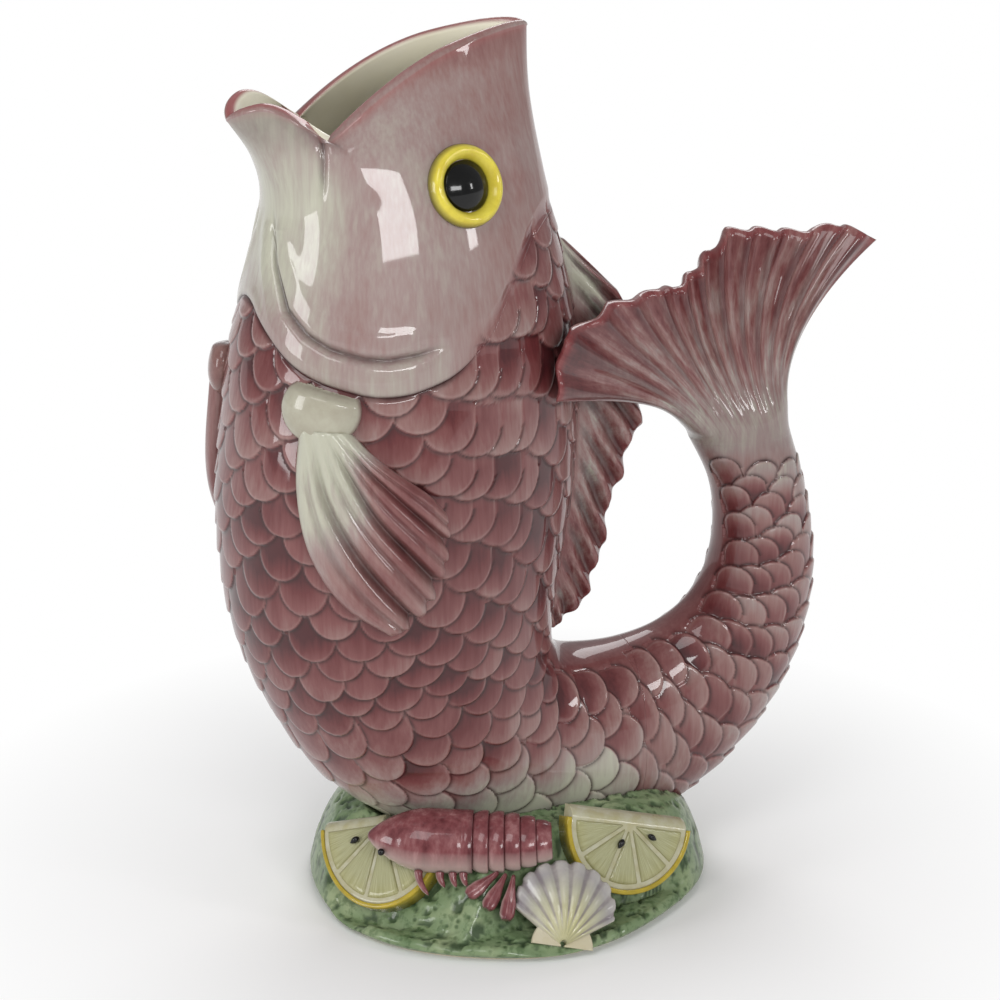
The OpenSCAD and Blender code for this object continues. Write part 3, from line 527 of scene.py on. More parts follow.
def head_piece():
    a = np.arange(AROUND) * 360 / AROUND
    edge = gill_edge(fold(a))
    pace = np.linalg.norm(skin(0.3, a) - skin(0.0, a), axis=1) / 0.3
    lip = 0.5 * WALL / pace
    t = lerp(lip, edge, np.linspace(1, 0, HEAD_ROWS)[:, None] ** 0.8)
    angle = np.broadcast_to(a, t.shape)
    f = fold(angle)
    p = skin(t, angle)
    left = mirrored(p.reshape(-1, 3))
    gill_gap = (edge - t) * np.linalg.norm(skin_down(t, angle), axis=2)
    (smile, smile_at), (crease, crease_at), (brow, brow_at) = (
        [v.reshape(t.shape) for v in polyline_gap(left, line)] for line in (SMILE, CREASE, BROW))
    ends = smooth(0.0, 0.2, smile_at) * smooth(1.0, 0.86, smile_at)
    crease_fade = smooth(1.0, 0.45, crease_at)
    rise = -0.25 + HEAD_WAVES * (noise(left, 26.0, 3).reshape(t.shape) - 0.5)
    rise += BROW_RISE * bell(brow, 4.5) * bump(brow_at) ** 0.7
    rise += CHEEK_RISE * bell(smile - 5.5, 3.6) * ends * smooth(92, 70, f)
    rise -= SMILE_DEPTH * bell(smile, 1.35) * ends
    rise -= CREASE_DEPTH * bell(crease, 1.3) * crease_fade
    rise = lerp(-SCALE_RISE, np.minimum(rise, 0.45), rounded(gill_gap / 3.6))
    h, s_pool, s_rim, tint, red_patch_and_shade = skin_marks(p, t.shape)
    scaled = smooth(7.0, 1.0, gill_gap) * open_gill(f)
    outer = p + lerp(rise, h, scaled)[..., None] * skin_normal(t, angle)
    turn = np.linspace(0, 180, 14)[1:-1, None]
    lip_ring = skin(lip * (1 - sind(turn)), a, WALL / 2 * (cosd(turn) - 1))
    inner_t = lerp(lip, edge, np.linspace(0, 1, HEAD_INSIDE)[:, None])
    inner = skin(inner_t, a, -WALL)
    rest = np.zeros((len(lip_ring) + len(inner), AROUND))
    roll = np.broadcast_to(np.linspace(0, 1, len(lip_ring))[:, None], lip_ring.shape[:2])
    lower = smooth(74, 60, fold(a))
    # Painted shadow under the gill edge, and pooled glaze with painted shade in the smile and the crease
    pool = np.maximum(bell(gill_gap, 0.8) * (1 - open_gill(f)), 0.9 * bell(smile, 0.85) * ends)
    pool = np.maximum(pool, 0.6 * bell(crease, 0.9) * crease_fade)
    pool = np.maximum(pool * (1 - scaled), s_pool * scaled)
    # Painted shade darkens the outside of the lower lip
    pool += 0.4 * smooth(70, 50, f) * smooth(1.0, 0.3, t)
    lip_rim = bell((t - lip) * pace, 1.5)
    return ring_solid("head", np.concatenate([outer, lip_ring, inner]), loop=True, marks={
        "tone": np.concatenate([fish_tone(t, f, p), rest + 0.35]),
        "pool": np.concatenate([pool, rest]),
        "inside": np.concatenate([np.zeros(t.shape), smooth(0.72, 1.0, roll), np.ones(inner_t.shape)]),
        "lip": np.concatenate([lip_rim * lerp(0.35, 0.15, lower),
                               lerp(0.55, 1.0, lower) * smooth(0.1, 0.45, roll),
                               0.9 * lower * bell((inner_t - lip) * pace, 2.0)]),
        # Painted highlight along the scale edges and the lip
        "rim": np.concatenate([np.maximum(s_rim * scaled, 0.7 * lip_rim), rest]),
        "tint": np.concatenate([lerp(0.5, tint, scaled), rest + 0.5]),
        "red_patch_and_shade": np.concatenate([red_patch_and_shade * scaled, rest]),
    })


def scaled_skin(t, a):
    """Outer skin with scales, and the marks for its glaze."""
    angle = np.broadcast_to(a, t.shape)
    p = skin(t, angle)
    f = fold(angle)
    h, pool, rim, tint, red_patch_and_shade = skin_marks(p, t.shape)
    end = smooth(SCALE_END - 0.1, LAST, t)
    fade = 1 - end
    gap = (t - gill_edge(f)) * np.linalg.norm(skin_down(t, angle), axis=2)
    clear = np.maximum(smooth(0.0, 1.6, gap), open_gill(f))
    h = lerp(-SCALE_RISE, lerp(h, SCALE_BED, end), clear)
    h = h + 0.2 * (noise(p.reshape(-1, 3), 14.0, 8).reshape(t.shape) - 1) * smooth(0, 4, gap) * fade
    # Painted shadow just behind the gill edge
    pool = np.maximum(pool, bell(gap, 1.3) * (1 - open_gill(f)))
    return p + h[..., None] * skin_normal(t, angle), {
        "tone": fish_tone(t, f, p),
        # Painted shade toward the end of the tail
        "pool": pool * fade + TAIL_END_SHADE * smooth(16.8, LAST, t),
        "rim": rim * fade,
        "tint": 0.5 + (tint - 0.5) * fade,
        "red_patch_and_shade": red_patch_and_shade * fade * (1 - 0.8 * near_base(t, p)),
    }


def shell_marks(marks, inside_rows, inside_first):
    """Marks of an outer skin, joined to those of the rows inside it."""
    plain = np.zeros(marks["tone"].shape)
    out = {}
    for key, v in {**marks, "inside": plain, "lip": plain}.items():
        fill = np.full((inside_rows, v.shape[1]), {"tint": 0.5, "inside": 1.0}.get(key, 0.0))
        out[key] = np.concatenate([fill, v] if inside_first else [v, fill])
    return out


def body_piece():
    a = np.arange(AROUND) * 360 / AROUND
    edge = gill_edge(fold(a))
    outer, marks = scaled_skin(lerp(edge, TAIL_ROOT, np.linspace(0, 1, BODY_ROWS)[:, None]), a)
    # The last ring meets the tail, which has half as many points
    outer[-1, 1::2] = (outer[-1, 0::2] + np.roll(outer[-1, 0::2], -1, axis=0)) / 2
    inner = skin(lerp(edge, TAIL_ROOT, np.linspace(1, 0, BODY_INSIDE)[:, None]), a, -WALL)
    marks = shell_marks(marks, BODY_INSIDE, False)
    return ring_solid("body", np.concatenate([outer, inner]), loop=True, marks=marks)


def tail_piece():
    a = np.arange(TAIL_AROUND) * 360 / TAIL_AROUND
    outer, marks = scaled_skin(np.linspace(TAIL_ROOT, LAST, TAIL_ROWS)[:, None] + 0 * a, a)
    inner = skin(np.linspace(LAST - 0.22, TAIL_ROOT, TAIL_INSIDE)[:, None], a, -WALL)
    marks = shell_marks(marks, TAIL_INSIDE, True)
    return ring_solid("tail", np.concatenate([inner, outer]), cap="fan", marks=marks)


# Fins

TAIL_H, TAIL_REACH = 162, 122
FAN_LOW, FAN_HIGH, RAY_BEND = 52, 157, 35
TAIL_FLUTES, TAIL_FIN_EDGE, PLEAT_H = 13, 6, 1.9
# Lengths of the rays from the middle of the fan, by angle
RAY_LENGTHS = [[52, 92], [64, 88], [79, 83], [93, 84], [98, 75], [106, 70], [114, 69], [125, 81], [133, 92],
               [145, 101], [157, 93]]
# The inner lobe turns aside from this x on, and not before this share of the rays
LOBE_TURN_X, LOBE_ROOT = 76, 0.07
TAIL_FIN_TONES = [[0, 0.19], [0.2, 0.22], [0.42, 0.42], [0.7, 0.48], [0.86, 0.56], [0.97, 0.68], [1, 0.6]]
# How far back along the tail and how far out each ring of the hem lies
TAIL_FIN_HEM = ((1.6, -0.06), (0.6, 0.03))


def edge_steps(bend, steps):
    """Steps from 0 to 1 that close up past the bend, where the edge of a fin is rounded."""
    past = 1 - (1 - bend) * np.linspace(1, 0, 9)[1:] ** 2
    return np.concatenate([np.linspace(0, bend, steps), past])[:, None]


def pleats(s, count, seed):
    """Uneven folds across a fin: from -1 in a groove to 1 on a ridge."""
    at = np.stack([s * count * 0.55, np.full(s.shape, 0.5), np.full(s.shape, 0.5)], -1)
    shift = 0.9 * (noise(at, 1.0, seed) - 0.5)
    size = 0.55 + 0.9 * noise(at, 0.8, seed + 1)
    return np.clip(size * np.cos(2 * np.pi * (count * s + shift)), -1, 1)


def tail_fin_point(r, s, side):
    """Points at share r of the rays and s across them on one side, and the folds there."""
    a = np.degrees(np.arccos(np.clip(1 - 2 * s, -1, 1)))
    end = along(np.float64(LAST))
    root = end[0:2] * (1 - s)[..., None] + end[2:4] * s[..., None]
    q = lerp(FAN_LOW, FAN_HIGH, s)
    centre = np.array([TAIL_REACH - 34, TAIL_H - 4])
    wave = pleats(s, TAIL_FLUTES, 41)
    ragged = 1 - 0.004 * (1 - wave) - 0.04 * smooth(0.45, 0.9, flat_noise(s * 11, 0 * s, 45))
    length = lookup(q, RAY_LENGTHS) * ragged
    edge = centre + length[..., None] * np.stack([cosd(q), sind(q)], -1)
    bend = lerp(107, 142, s)
    via = root + RAY_BEND * np.stack([cosd(bend), sind(bend)], -1)
    heading = end - along(np.float64(LAST - 0.05))
    leave = unit(heading[0:2] * (1 - s)[..., None] + heading[2:4] * s[..., None])
    start, finish = root + 0.66 * RAY_BEND * leave, (edge + 2 * via) / 3
    rr = r[..., None]
    p = root * (1 - rr) ** 3 + 3 * start * rr * (1 - rr) ** 2
    p = p + 3 * finish * rr ** 2 * (1 - rr) + edge * rr ** 3
    thin = r ** 0.6 * smooth(-0.02, 0.32, r)
    half_t = lerp(end[4], TAIL_FIN_EDGE / 2, thin) * np.clip(sind(a), 0, 1) ** (1 - 0.6 * r)
    half_t = half_t * (0.12 + 0.88 * rounded((1 - r) * length / 2.6))
    flute = PLEAT_H * smooth(0.08, 0.9, r) * np.clip(2 * sind(a), 0, 1) * wave
    flute = flute + 0.5 * smooth(0.3, 1, r) * (flat_noise(s * 70, r * 3, 46) - 0.5)
    lobe_end = skin(4.4, 130.0, 1 + TAIL_FIN_EDGE / 2 + PLEAT_H)
    u = np.clip((LOBE_TURN_X - p[..., 0]) / (LOBE_TURN_X - lobe_end[0]), 0, None)
    aside = lobe_end[1] * u ** 1.1 * np.clip(r / LOBE_ROOT, 0, 1)
    points = np.stack([p[..., 0], aside - side * half_t + flute, p[..., 1]], -1)
    sunk = SCALE_BED * smooth(0.16, 0.0, r)
    return points + sunk[..., None] * skin_normal(np.full(s.shape, float(LAST)), side * a), wave


def tail_fin_piece():
    across = 260
    s = np.linspace(0, 1, across + 1)
    r = edge_steps(0.965, 62)
    front, back = s + 0 * r, s[::-1][1:-1] + 0 * r
    front_points, front_wave = tail_fin_point(r + 0 * front, front, 1.0)
    back_points, back_wave = tail_fin_point(r + 0 * back, back, -1.0)
    rings = np.concatenate([front_points, back_points], axis=1)
    span = np.broadcast_to(r, rings.shape[:2])
    wave = np.concatenate([front_wave, -back_wave], axis=1)
    ray = np.concatenate([front, back], axis=1)
    # Pooled glaze with painted shade in the grooves of the folds, painted shade toward the root, and a
    # painted highlight on the ridges
    pool = 0.6 * smooth(-0.15, -0.9, wave) * smooth(0.2, 0.5, span) * smooth(1.0, 0.93, span)
    marks = {
        "tone": lookup(span, TAIL_FIN_TONES) + 0.12 * smooth(0.8, 0.95, ray) * smooth(0.3, 0.5, span),
        "pool": pool + TAIL_END_SHADE * smooth(0.45, 0.2, span),
        "rim": 0.25 * smooth(0.4, 1, wave) * smooth(0.3, 0.7, span),
        "ray": ray * 5, "span": span, "lip": 0.4 * smooth(0.96, 0.995, span),
    }
    # A thin hem over the end of the tail closes the seam between the two pieces
    turn = np.degrees(np.arccos(np.clip(1 - 2 * ray[0], -1, 1)))
    turn[across + 1:] *= -1
    end = np.full(turn.shape, float(LAST))
    out, down = skin_normal(end, turn), unit(skin_down(end, turn))
    hem = [rings[0] + lift * out - reach * down for reach, lift in TAIL_FIN_HEM]
    return ring_solid("tail_fin_glazed", np.concatenate([hem, rings]), marks={
        key: np.concatenate([v[:1]] * len(hem) + [v]) for key, v in marks.items()})


BACK_FIN_TOP, BACK_FIN_END, BACK_FIN_SLANT, BACK_FIN_SINK = 3, 8.6, 0.5, 1.2
BACK_FIN_H, BACK_FIN_ROOT, BACK_FIN_EDGE = 30, 8, 4
# Folds across the fin, how far they lean toward the tail, how far they swing aside, and waves of the edge
BACK_FIN_FOLDS, BACK_FIN_LEAN, BACK_FIN_SWING, BACK_FIN_WAVES = 13, 0.13, 1.8, 6
# Height of the fin along the back
BACK_FIN_HEIGHTS = [[0, 0.1], [0.07, 0.88], [0.18, 1], [0.34, 1], [0.52, 0.7], [0.78, 0.62], [1, 0.1]]


def back_fin_piece():
    up, steps = 22, 260
    u = np.linspace(0, 1, steps + 1)[:, None]
    r = np.linspace(0, 1, up + 1) ** 0.8
    t = lerp(BACK_FIN_TOP, BACK_FIN_END, u)
    wave = pleats(u - BACK_FIN_LEAN * r, BACK_FIN_FOLDS, 51)
    out = unit(np.array([1, 0, -BACK_FIN_SLANT]))
    half = lerp(BACK_FIN_ROOT, BACK_FIN_EDGE, r) / 2
    reach = BACK_FIN_H * lookup(u, BACK_FIN_HEIGHTS) + BACK_FIN_SINK
    h = reach * (1 - 0.055 * (1 - pleats(u, BACK_FIN_WAVES, 57)) - 0.012 * (1 - wave[:, -1:]))
    sides = []
    for side in (1, -1):
        angle = 180 - side * np.degrees(np.arcsin(half / along(t)[..., 4]))
        p = skin(t, angle, -BACK_FIN_SINK) + (r * h)[..., None] * out
        p[..., 1] += BACK_FIN_SWING * smooth(0.05, 0.7, r) * wave * smooth(0, 0.1, u) * smooth(1, 0.9, u)
        p[..., 1] += side * half * (1 - 0.3 - 0.7 * rounded((1 - r) * reach / 2.0)) * (r > 0.5)
        sides.append(p)
    rings = np.concatenate([sides[0], sides[1][:, ::-1]], axis=1)
    shape = rings.shape[:2]
    span = np.broadcast_to(np.concatenate([r, r[::-1]]), shape)
    left = np.concatenate([np.ones(up + 1), -np.ones(up + 1)])
    wave = -left * np.concatenate([wave, wave[:, ::-1]], axis=1)
    place = np.broadcast_to(u, shape)
    tone = lerp(0.58, 0.2, smooth(0.2, 0.08, place) * smooth(0.85, 0.5, span))
    tone = tone - 0.24 * bump(span * 1.3) * smooth(0.3, 0.7, flat_noise(place * 6, span, 55))
    # Pooled glaze with painted shade in the folds, and a painted highlight on their ridges
    return ring_solid("back_fin_glazed", rings, marks={
        "tone": tone, "pool": 0.8 * smooth(-0.1, -0.9, wave) * smooth(0.05, 0.3, span),
        "rim": 0.3 * smooth(0.4, 1, wave) * smooth(0.2, 0.6, span),
        "ray": (place - BACK_FIN_LEAN * span) * 5, "span": span, "lip": 0.3 * smooth(0.86, 0.98, span),
    })


SIDE_FIN_PLACE, SIDE_FIN_RISE, SIDE_FIN_LENGTH = 4.62, 8, 60
# Each groove holds its place between the lines below, its depth and its width
SIDE_FIN_GROOVES = ((0.55, 0.45, 0.1), (1.0, 1.0, 0.14), (1.55, 0.5, 0.1), (2.0, 1.0, 0.14), (2.5, 0.4, 0.1),
                    (3.0, 0.8, 0.13), (3.55, 0.35, 0.1))
# Lines along the fin from its front edge to its rear edge, in its own plane: down and round in millimetres
SIDE_FIN_LINES = np.array([
    [[-3, -8], [18, -8], [39, -3], [56, 8], [67, 24]],
    [[-3, -3], [18, 2], [33, 9.5], [47.5, 19.5], [62, 31]],
    [[-3, 1.5], [12, 10], [25, 18], [37, 28], [49, 37.5]],
    [[-3, 5], [8, 14], [16, 22], [25, 31], [34, 39.5]],
    [[-3, 8.5], [5, 17], [11.5, 26], [17, 33.5], [23, 38.5]],
], float)
# Share of red along the front part and the rear part of the fin, and how dark its grooves are: pooled glaze
# with painted shade
FRONT_TONES = [[0, 0.03], [0.4, 0.08], [0.56, 0.34], [0.75, 0.54], [1, 0.44]]
REAR_TONES = [[0, 0.03], [0.16, 0.14], [0.34, 0.54], [0.6, 0.68], [0.85, 0.6], [1, 0.5]]
GROOVE_POOLS = [[0, 0], [0.2, 0.25], [0.45, 0.6], [0.7, 1], [1, 0.8]]
# How much redder the two parts are on the right fin
FAR_FIN_RED = (0.45, 0.2)


def side_fin_piece(name, angle, mirror):
    s = np.linspace(0, 1, 181)
    r = edge_steps(0.95, 58)
    place = (len(SIDE_FIN_LINES) - 1) * s
    groove = sum(depth * bell(place - at, wide) for at, depth, wide in SIDE_FIN_GROOVES)
    notch = 0.05 * groove * smooth(0.12, 0.22, s)
    lines = spline(np.swapaxes(SIDE_FIN_LINES, 0, 1), r[:, 0])
    xy = np.swapaxes(spline(np.swapaxes(lines, 0, 1), s), 0, 1)
    xy = xy[:1] + (xy - xy[:1]) * (1 - notch * smooth(0.6, 1.0, r))[..., None]
    x, y = xy[..., 0], xy[..., 1]
    swell = 1.06 + 0.06 * np.cos(2 * np.pi * (place - 0.5)) - 0.5 * groove * smooth(0.02, 0.3, r)
    h = SIDE_FIN_RISE * lerp(0.7, 0.95, r) * lerp(0.62, 0.92, bump(s) ** 0.7) * swell
    edge = np.minimum(np.minimum(s, 1 - s) * 42 * lerp(0.4, 1, r) + 0.1, 0.1 + (1 - r) * SIDE_FIN_LENGTH)
    h = h * (0.12 + 0.88 * rounded(edge / 2.8))
    top = on_skin(SIDE_FIN_PLACE, angle, x, y, SEAT_GAP + h)
    bottom = on_skin(SIDE_FIN_PLACE, angle, x, y, np.full(x.shape, -1.6))
    rings = sided(np.concatenate([top, bottom[:, ::-1]], axis=1), mirror)
    front, rear = lookup(r, FRONT_TONES), lookup(r, REAR_TONES)
    if mirror:
        front, rear = front + FAR_FIN_RED[0], rear + FAR_FIN_RED[1]
    # Pooled glaze with painted shade in the grooves, and a painted highlight on the ribs
    return ring_solid(name, rings, marks={key: two_faced(v, x.shape) for key, v in {
        "tone": lerp(front, rear, smooth(0.42, 0.68, s)),
        "pool": np.clip(groove, 0, 1) * lookup(r, GROOVE_POOLS),
        "rim": 0.3 * smooth(0.4, 0.0, groove) * smooth(0.1, 0.5, r),
        "ray": s * 2.2, "span": 0.25 + 0.75 * r, "lip": 0.0,
    }.items()})


# Roots of the side fins and eyes: thickness at the edge, and how deep they sit in the skin
PAD_EDGE_T, PAD_SINK = 0.8, 1.2
FIN_ROOT_PLACE, FIN_ROOT_L, FIN_ROOT_W, FIN_ROOT_RISE = 4.3, 21, 27, 6
FIN_ROOT_TUCK = 3.8
EYE_PLACE, EYE_ANGLE, EYE_D, EYE_RISE = 1.81, 103, 28, 4
PUPIL_D, PUPIL_RISE, PUPIL_TIP = 17, 3.5, 0.03
LEFT_FIN_ANGLE, RIGHT_FIN_ANGLE = 50, 30


def fin_root_piece(name, angle, mirror):
    """Rounded root of a side fin. Its upper part runs in under the gill edge."""
    n = 96
    q = np.arange(n) * 360 / n
    r = np.linspace(0.03, 1, 26)[:, None]
    x, y = 2 + r * (FIN_ROOT_L / 2 + 1.5) * cosd(q), r * FIN_ROOT_W / 2 * sind(q) - 1.5
    dome = (PAD_EDGE_T + (FIN_ROOT_RISE - PAD_EDGE_T) * np.clip(1 - r ** 2.4, 0, 1) ** 0.62) * np.ones_like(x)
    bare = on_skin(FIN_ROOT_PLACE, angle, x, y, np.zeros(x.shape))
    above = on_skin(FIN_ROOT_PLACE, angle, x, y, np.full(x.shape, 1.0)) - bare
    gap = x + FIN_ROOT_TUCK - 0.18 * y
    h = lerp(-2.0, dome, rounded((gap + 0.8) / 2.6))
    front = bare + (SEAT_GAP + h)[..., None] * above
    back = bare[::-1] - 2.6 * above[::-1]
    rings = sided(np.concatenate([front, back]), mirror)
    return ring_solid(name, rings, cap="fan", marks={"span": np.concatenate([r, r[::-1]])})


def eye_pad(name, d, hole, rise, steps, n, form, mirror):
    """Round pad over the eye, with a hole that is that share of it. The pupil's small one is closed."""
    q = np.arange(n) * 360 / n
    r = np.linspace(hole, 1, steps + 1)[:, None]
    x, y = r * d / 2 * cosd(q), r * d / 2 * sind(q)
    h = SEAT_GAP + PAD_EDGE_T + (rise - PAD_EDGE_T) * form(r) + 0 * x
    front = on_skin(EYE_PLACE, EYE_ANGLE, x, y, h)
    back = on_skin(EYE_PLACE, EYE_ANGLE, x, y, np.full(x.shape, -PAD_SINK))
    rings = sided(np.concatenate([front, back[::-1]]), mirror)
    return ring_solid(name, rings, hole > PUPIL_TIP, "fan", {"span": np.concatenate([r, r[::-1]])})


def eye_ring_piece(name, mirror):
    hole = (PUPIL_D + 2 * SEAT_GAP) / EYE_D

    def arch(r):
        return bump((r - hole) / (1 - hole)) ** 0.8

    return eye_pad(name, EYE_D, hole, EYE_RISE, 16, 96, arch, mirror)


def pupil_piece(name, mirror):
    return eye_pad(name, PUPIL_D, PUPIL_TIP, PUPIL_RISE, 12, 72, lambda r: 1 - r * r, mirror)


# Base and relief

BASE_L, BASE_W, RIM_H, MOUND_H, FOOT_H = 151, 150, 6, 36, 2
LEFT_LEMON_D, LEFT_LEMON_OVAL, LEFT_LEMON_ARC, RIGHT_LEMON_D = 63, 0.82, 144, 51
LEMON_T, LEMON_HEEL, RIND_T, PITH_T, SEGMENTS, SEGMENT_RISE = 7, 4.5, 1.8, 1.6, 5, 0.6
SEGMENT_TIP, SEGMENT_GAP, SEED_L, SEED_FAT = 2.5, 0.6, 4, 1.12
CARAPACE_L, CARAPACE_W, CARAPACE_RISE, ABDOMEN_L, ABDOMEN_RINGS = 38, 24, 9, 28, 5
SCALLOP_W, SCALLOP_L, SCALLOP_RISE, SCALLOP_RIBS = 34, 31, 6, 9
# Each seat holds its point, its turn, tilt and roll, and the flat round it: place in its plane and radius
LEFT_LEMON = ((-49.9, -15.2, 31.3), -52, 53, 21, (0, 0, LEFT_LEMON_D / 2 + 8))
RIGHT_LEMON = ((28.4, -42.6, 32.4), 8, 70, -18, (0, 0, RIGHT_LEMON_D / 2 + 5))
SHRIMP = ((-31.6, -45, 29.6), -23, 48, 0, (0, -2, 34))
SCALLOP = ((-1.8, -64.6, 15.2), -5, 50, -15, (0, 1, SCALLOP_W / 2 + 12))
SEATS = (LEFT_LEMON, RIGHT_LEMON, SHRIMP, SCALLOP)
SEEDS = ((LEFT_LEMON, -11, -5.7), (RIGHT_LEMON, -3.5, -7.5), (RIGHT_LEMON, 9, -4))


def seated(seat, p):
    """Points from a seat's own plane to the frame of the jug."""
    point, turn, tilt, roll, _ = seat
    p = np.asarray(p, float)
    x = p[..., 0] * cosd(roll) - p[..., 1] * sind(roll)
    y = p[..., 0] * sind(roll) + p[..., 1] * cosd(roll)
    z = p[..., 2]
    y, z = y * cosd(tilt) - z * sind(tilt), y * sind(tilt) + z * cosd(tilt)
    x, y = x * cosd(turn) - y * sind(turn), x * sind(turn) + y * cosd(turn)
    return np.stack([x, y, z], -1) + np.array(point)


def seat_height(seat, x, y):
    """Height of the mound where it is cut back for a seat."""
    point, turn, tilt, _, patch = seat
    nx, ny, nz = sind(tilt) * sind(turn), -sind(tilt) * cosd(turn), cosd(tilt)
    dx, dy = x - point[0], y - point[1]
    px = dx * cosd(turn) + dy * sind(turn)
    py = (dy * cosd(turn) - dx * sind(turn)) / cosd(tilt)
    off = np.clip(np.hypot(px - patch[0], py - patch[1]) - patch[2], 0, None)
    plane = point[2] - (nx * dx + ny * dy) / nz - SEAT_GAP
    return np.maximum(plane, np.minimum(RIM_H, plane + 2 * off))


def underside(x, y):
    """Height of the underside of the fish, or a high value beside it."""
    ts = np.arange(7, 15.01, 0.1)
    s = along(ts)
    out = np.full(x.shape, 1000.0)
    for i in np.ndindex(x.shape):
        share = y[i] / s[:, 4]
        ok = np.abs(share) < 0.98
        if not ok.any():
            continue
        c = np.sqrt(1 - share[ok] ** 2)[:, None]
        track = (s[ok, 0:2] + s[ok, 2:4]) / 2 + c * (s[ok, 0:2] - s[ok, 2:4]) / 2
        if track[0, 0] <= x[i] <= track[-1, 0]:
            out[i] = np.interp(x[i], track[:, 0], track[:, 1])
    return out


def base_edge(q):
    waves = 1 + 0.038 * cosd(2 * (q + 135)) + 0.012 * cosd(6 * (q + 90))
    return 0.9985 * waves / np.hypot(2 * cosd(q) / BASE_L, 2 * sind(q) / BASE_W)


def base_piece():
    n, steps = 300, 84
    q = np.arange(n) * 360 / n
    r = lerp(0.02, 0.975, np.linspace(0, 1, steps) ** 0.8)[:, None]
    edge = base_edge(q)
    x, y = r * edge * cosd(q), r * edge * sind(q)
    top = RIM_H + (MOUND_H - RIM_H) * (1 - r ** 9) * np.ones_like(x)
    top = np.minimum(top, underside(x, y) - SEAT_GAP - 0.6)
    for seat in SEATS:
        top = np.minimum(top, seat_height(seat, x, y))
    top = np.maximum(top, FOOT_H + 1)
    p = np.stack([x, y, top], -1)
    pits = noise(p, 2.6, 21) + 0.5 * noise(p, 1.5, 22)
    p[..., 2] -= 1.1 * smooth(0.8, 1.1, pits) * smooth(FOOT_H + 1, RIM_H, top)
    rings = [p]
    cap = np.minimum(p[-1, :, 2], RIM_H)
    for share, height in ((1.0, 0.62), (1.0, 0.35), (0.985, 0.0)):
        z = lerp(FOOT_H, cap, height)
        rings.append(np.stack([share * edge * cosd(q), share * edge * sind(q), z], -1)[None])
    rings = np.concatenate(rings)
    depth = np.concatenate([smooth(0.8, 1.1, pits), np.zeros((3, n))])
    return ring_solid("moss_base", rings, cap="fan", marks={"pool": depth})


def arc_points(r, oval, q):
    return np.stack([r * oval * cosd(q), r * sind(q)], -1)


def lemon_rind_piece(name, seat, d, oval, arc):
    q = 180 + np.linspace(0, arc, 90)[:, None]
    w, h, c = RIND_T, LEMON_T, 0.7
    turn = np.radians(np.linspace(0, 90, 6))
    top_out = [(w - c + c * math.cos(v), h - c + c * math.sin(v)) for v in turn]
    top_in = [(c * 0.6 - c * 0.6 * math.sin(v), h - c * 0.6 + c * 0.6 * math.cos(v)) for v in turn]
    profile = np.array([(0, 0), (w, 0)] + top_out + top_in)
    r = d / 2 - RIND_T + profile[:, 0]
    xy = arc_points(r[None], oval, q)
    z = np.broadcast_to(profile[:, 1], xy.shape[:2])
    rings = seated(seat, np.concatenate([xy, z[..., None]], -1))
    return ring_solid(name, rings, cap="fan", marks={"span": profile[:, 1] / h})


def lemon_pith_piece(name, seat, d, oval, arc):
    r = d / 2 - RIND_T
    t = LEMON_T - SEGMENT_RISE
    right = r * oval if arc >= 180 else r * oval * 0.8
    x = np.linspace(-r * oval * 0.998, right * 0.998, 80)
    low = -r * np.sqrt(np.clip(1 - (x / (r * oval)) ** 2, 0, 1))
    high = np.where(x > 0, 0 if arc >= 180 else x / oval * math.tan(math.radians(arc - 180)), 0.0)
    heel = np.where((x < 0) | (arc >= 180), LEMON_HEEL, 0.05)
    high = np.maximum(high, low + 0.05)
    v = np.linspace(0, 1, 30)
    front = lerp(low[:, None], high[:, None], v)
    back = high[:, None] + heel[:, None] * np.linspace(0, 1, 12)[1:]
    y = np.concatenate([front, back], axis=1)
    z = np.concatenate([np.full(front.shape, t), np.broadcast_to(
        t * np.sqrt(np.clip(1 - np.linspace(0, 1, 12)[1:] ** 1.6, 0, 1)), back.shape)], axis=1)
    xx = np.broadcast_to(x[:, None], y.shape)
    return ring_solid(name, seated(seat, over_and_under(np.stack([xx, y, z], -1), 0)))


def lemon_flesh_piece(name, seat, d, oval, arc):
    """Segments with rounded edges, as many as the slice has room for."""
    inner, outer = SEGMENT_TIP, d / 2 - RIND_T - PITH_T
    floor = LEMON_T - SEGMENT_RISE
    span = 180 / SEGMENTS
    u, v = np.linspace(0, 1, 26), np.linspace(0, 1, 22)[:, None]
    r = lerp(inner, outer, v)
    margin = np.degrees(np.arcsin(SEGMENT_GAP / r))
    side = np.minimum(np.minimum(u, 1 - u) * np.radians(span) * r, np.minimum(r - inner, outer - r))
    z = floor - 0.3 + (SEGMENT_RISE + 0.3) * rounded(side / 1.3)
    border = two_faced(bell(side, 0.9), side.shape)
    solids = []
    for k in range(int(arc // span)):
        q = 180 + k * span + margin + (span - 2 * margin) * u
        rings = over_and_under(np.concatenate([arc_points(r, oval, q), z[..., None]], -1), floor - 0.5)
        solids.append((seated(seat, rings), {"ray": two_faced(q, q.shape), "span": v, "pool": border}))
    return ring_solids(name, solids)


def seeds_piece():
    u = np.linspace(0.02, 0.98, 18)[:, None]
    q = np.arange(20) * 18
    fat = SEED_FAT * np.sin(np.pi * u ** 0.8) ** 0.8
    x, y, z = SEED_L * (u - 0.5) + 0 * q, fat * cosd(q), LEMON_T + SEED_FAT + fat * sind(q)
    solids = []
    for seat, at_x, at_y in SEEDS:
        way = math.degrees(math.atan2(at_y, at_x))
        rings = np.stack([at_x + x * cosd(way) - y * sind(way), at_y + x * sind(way) + y * cosd(way), z], -1)
        solids.append((seated(seat, rings), {}))
    return ring_solids("seeds", solids, cap="fan")


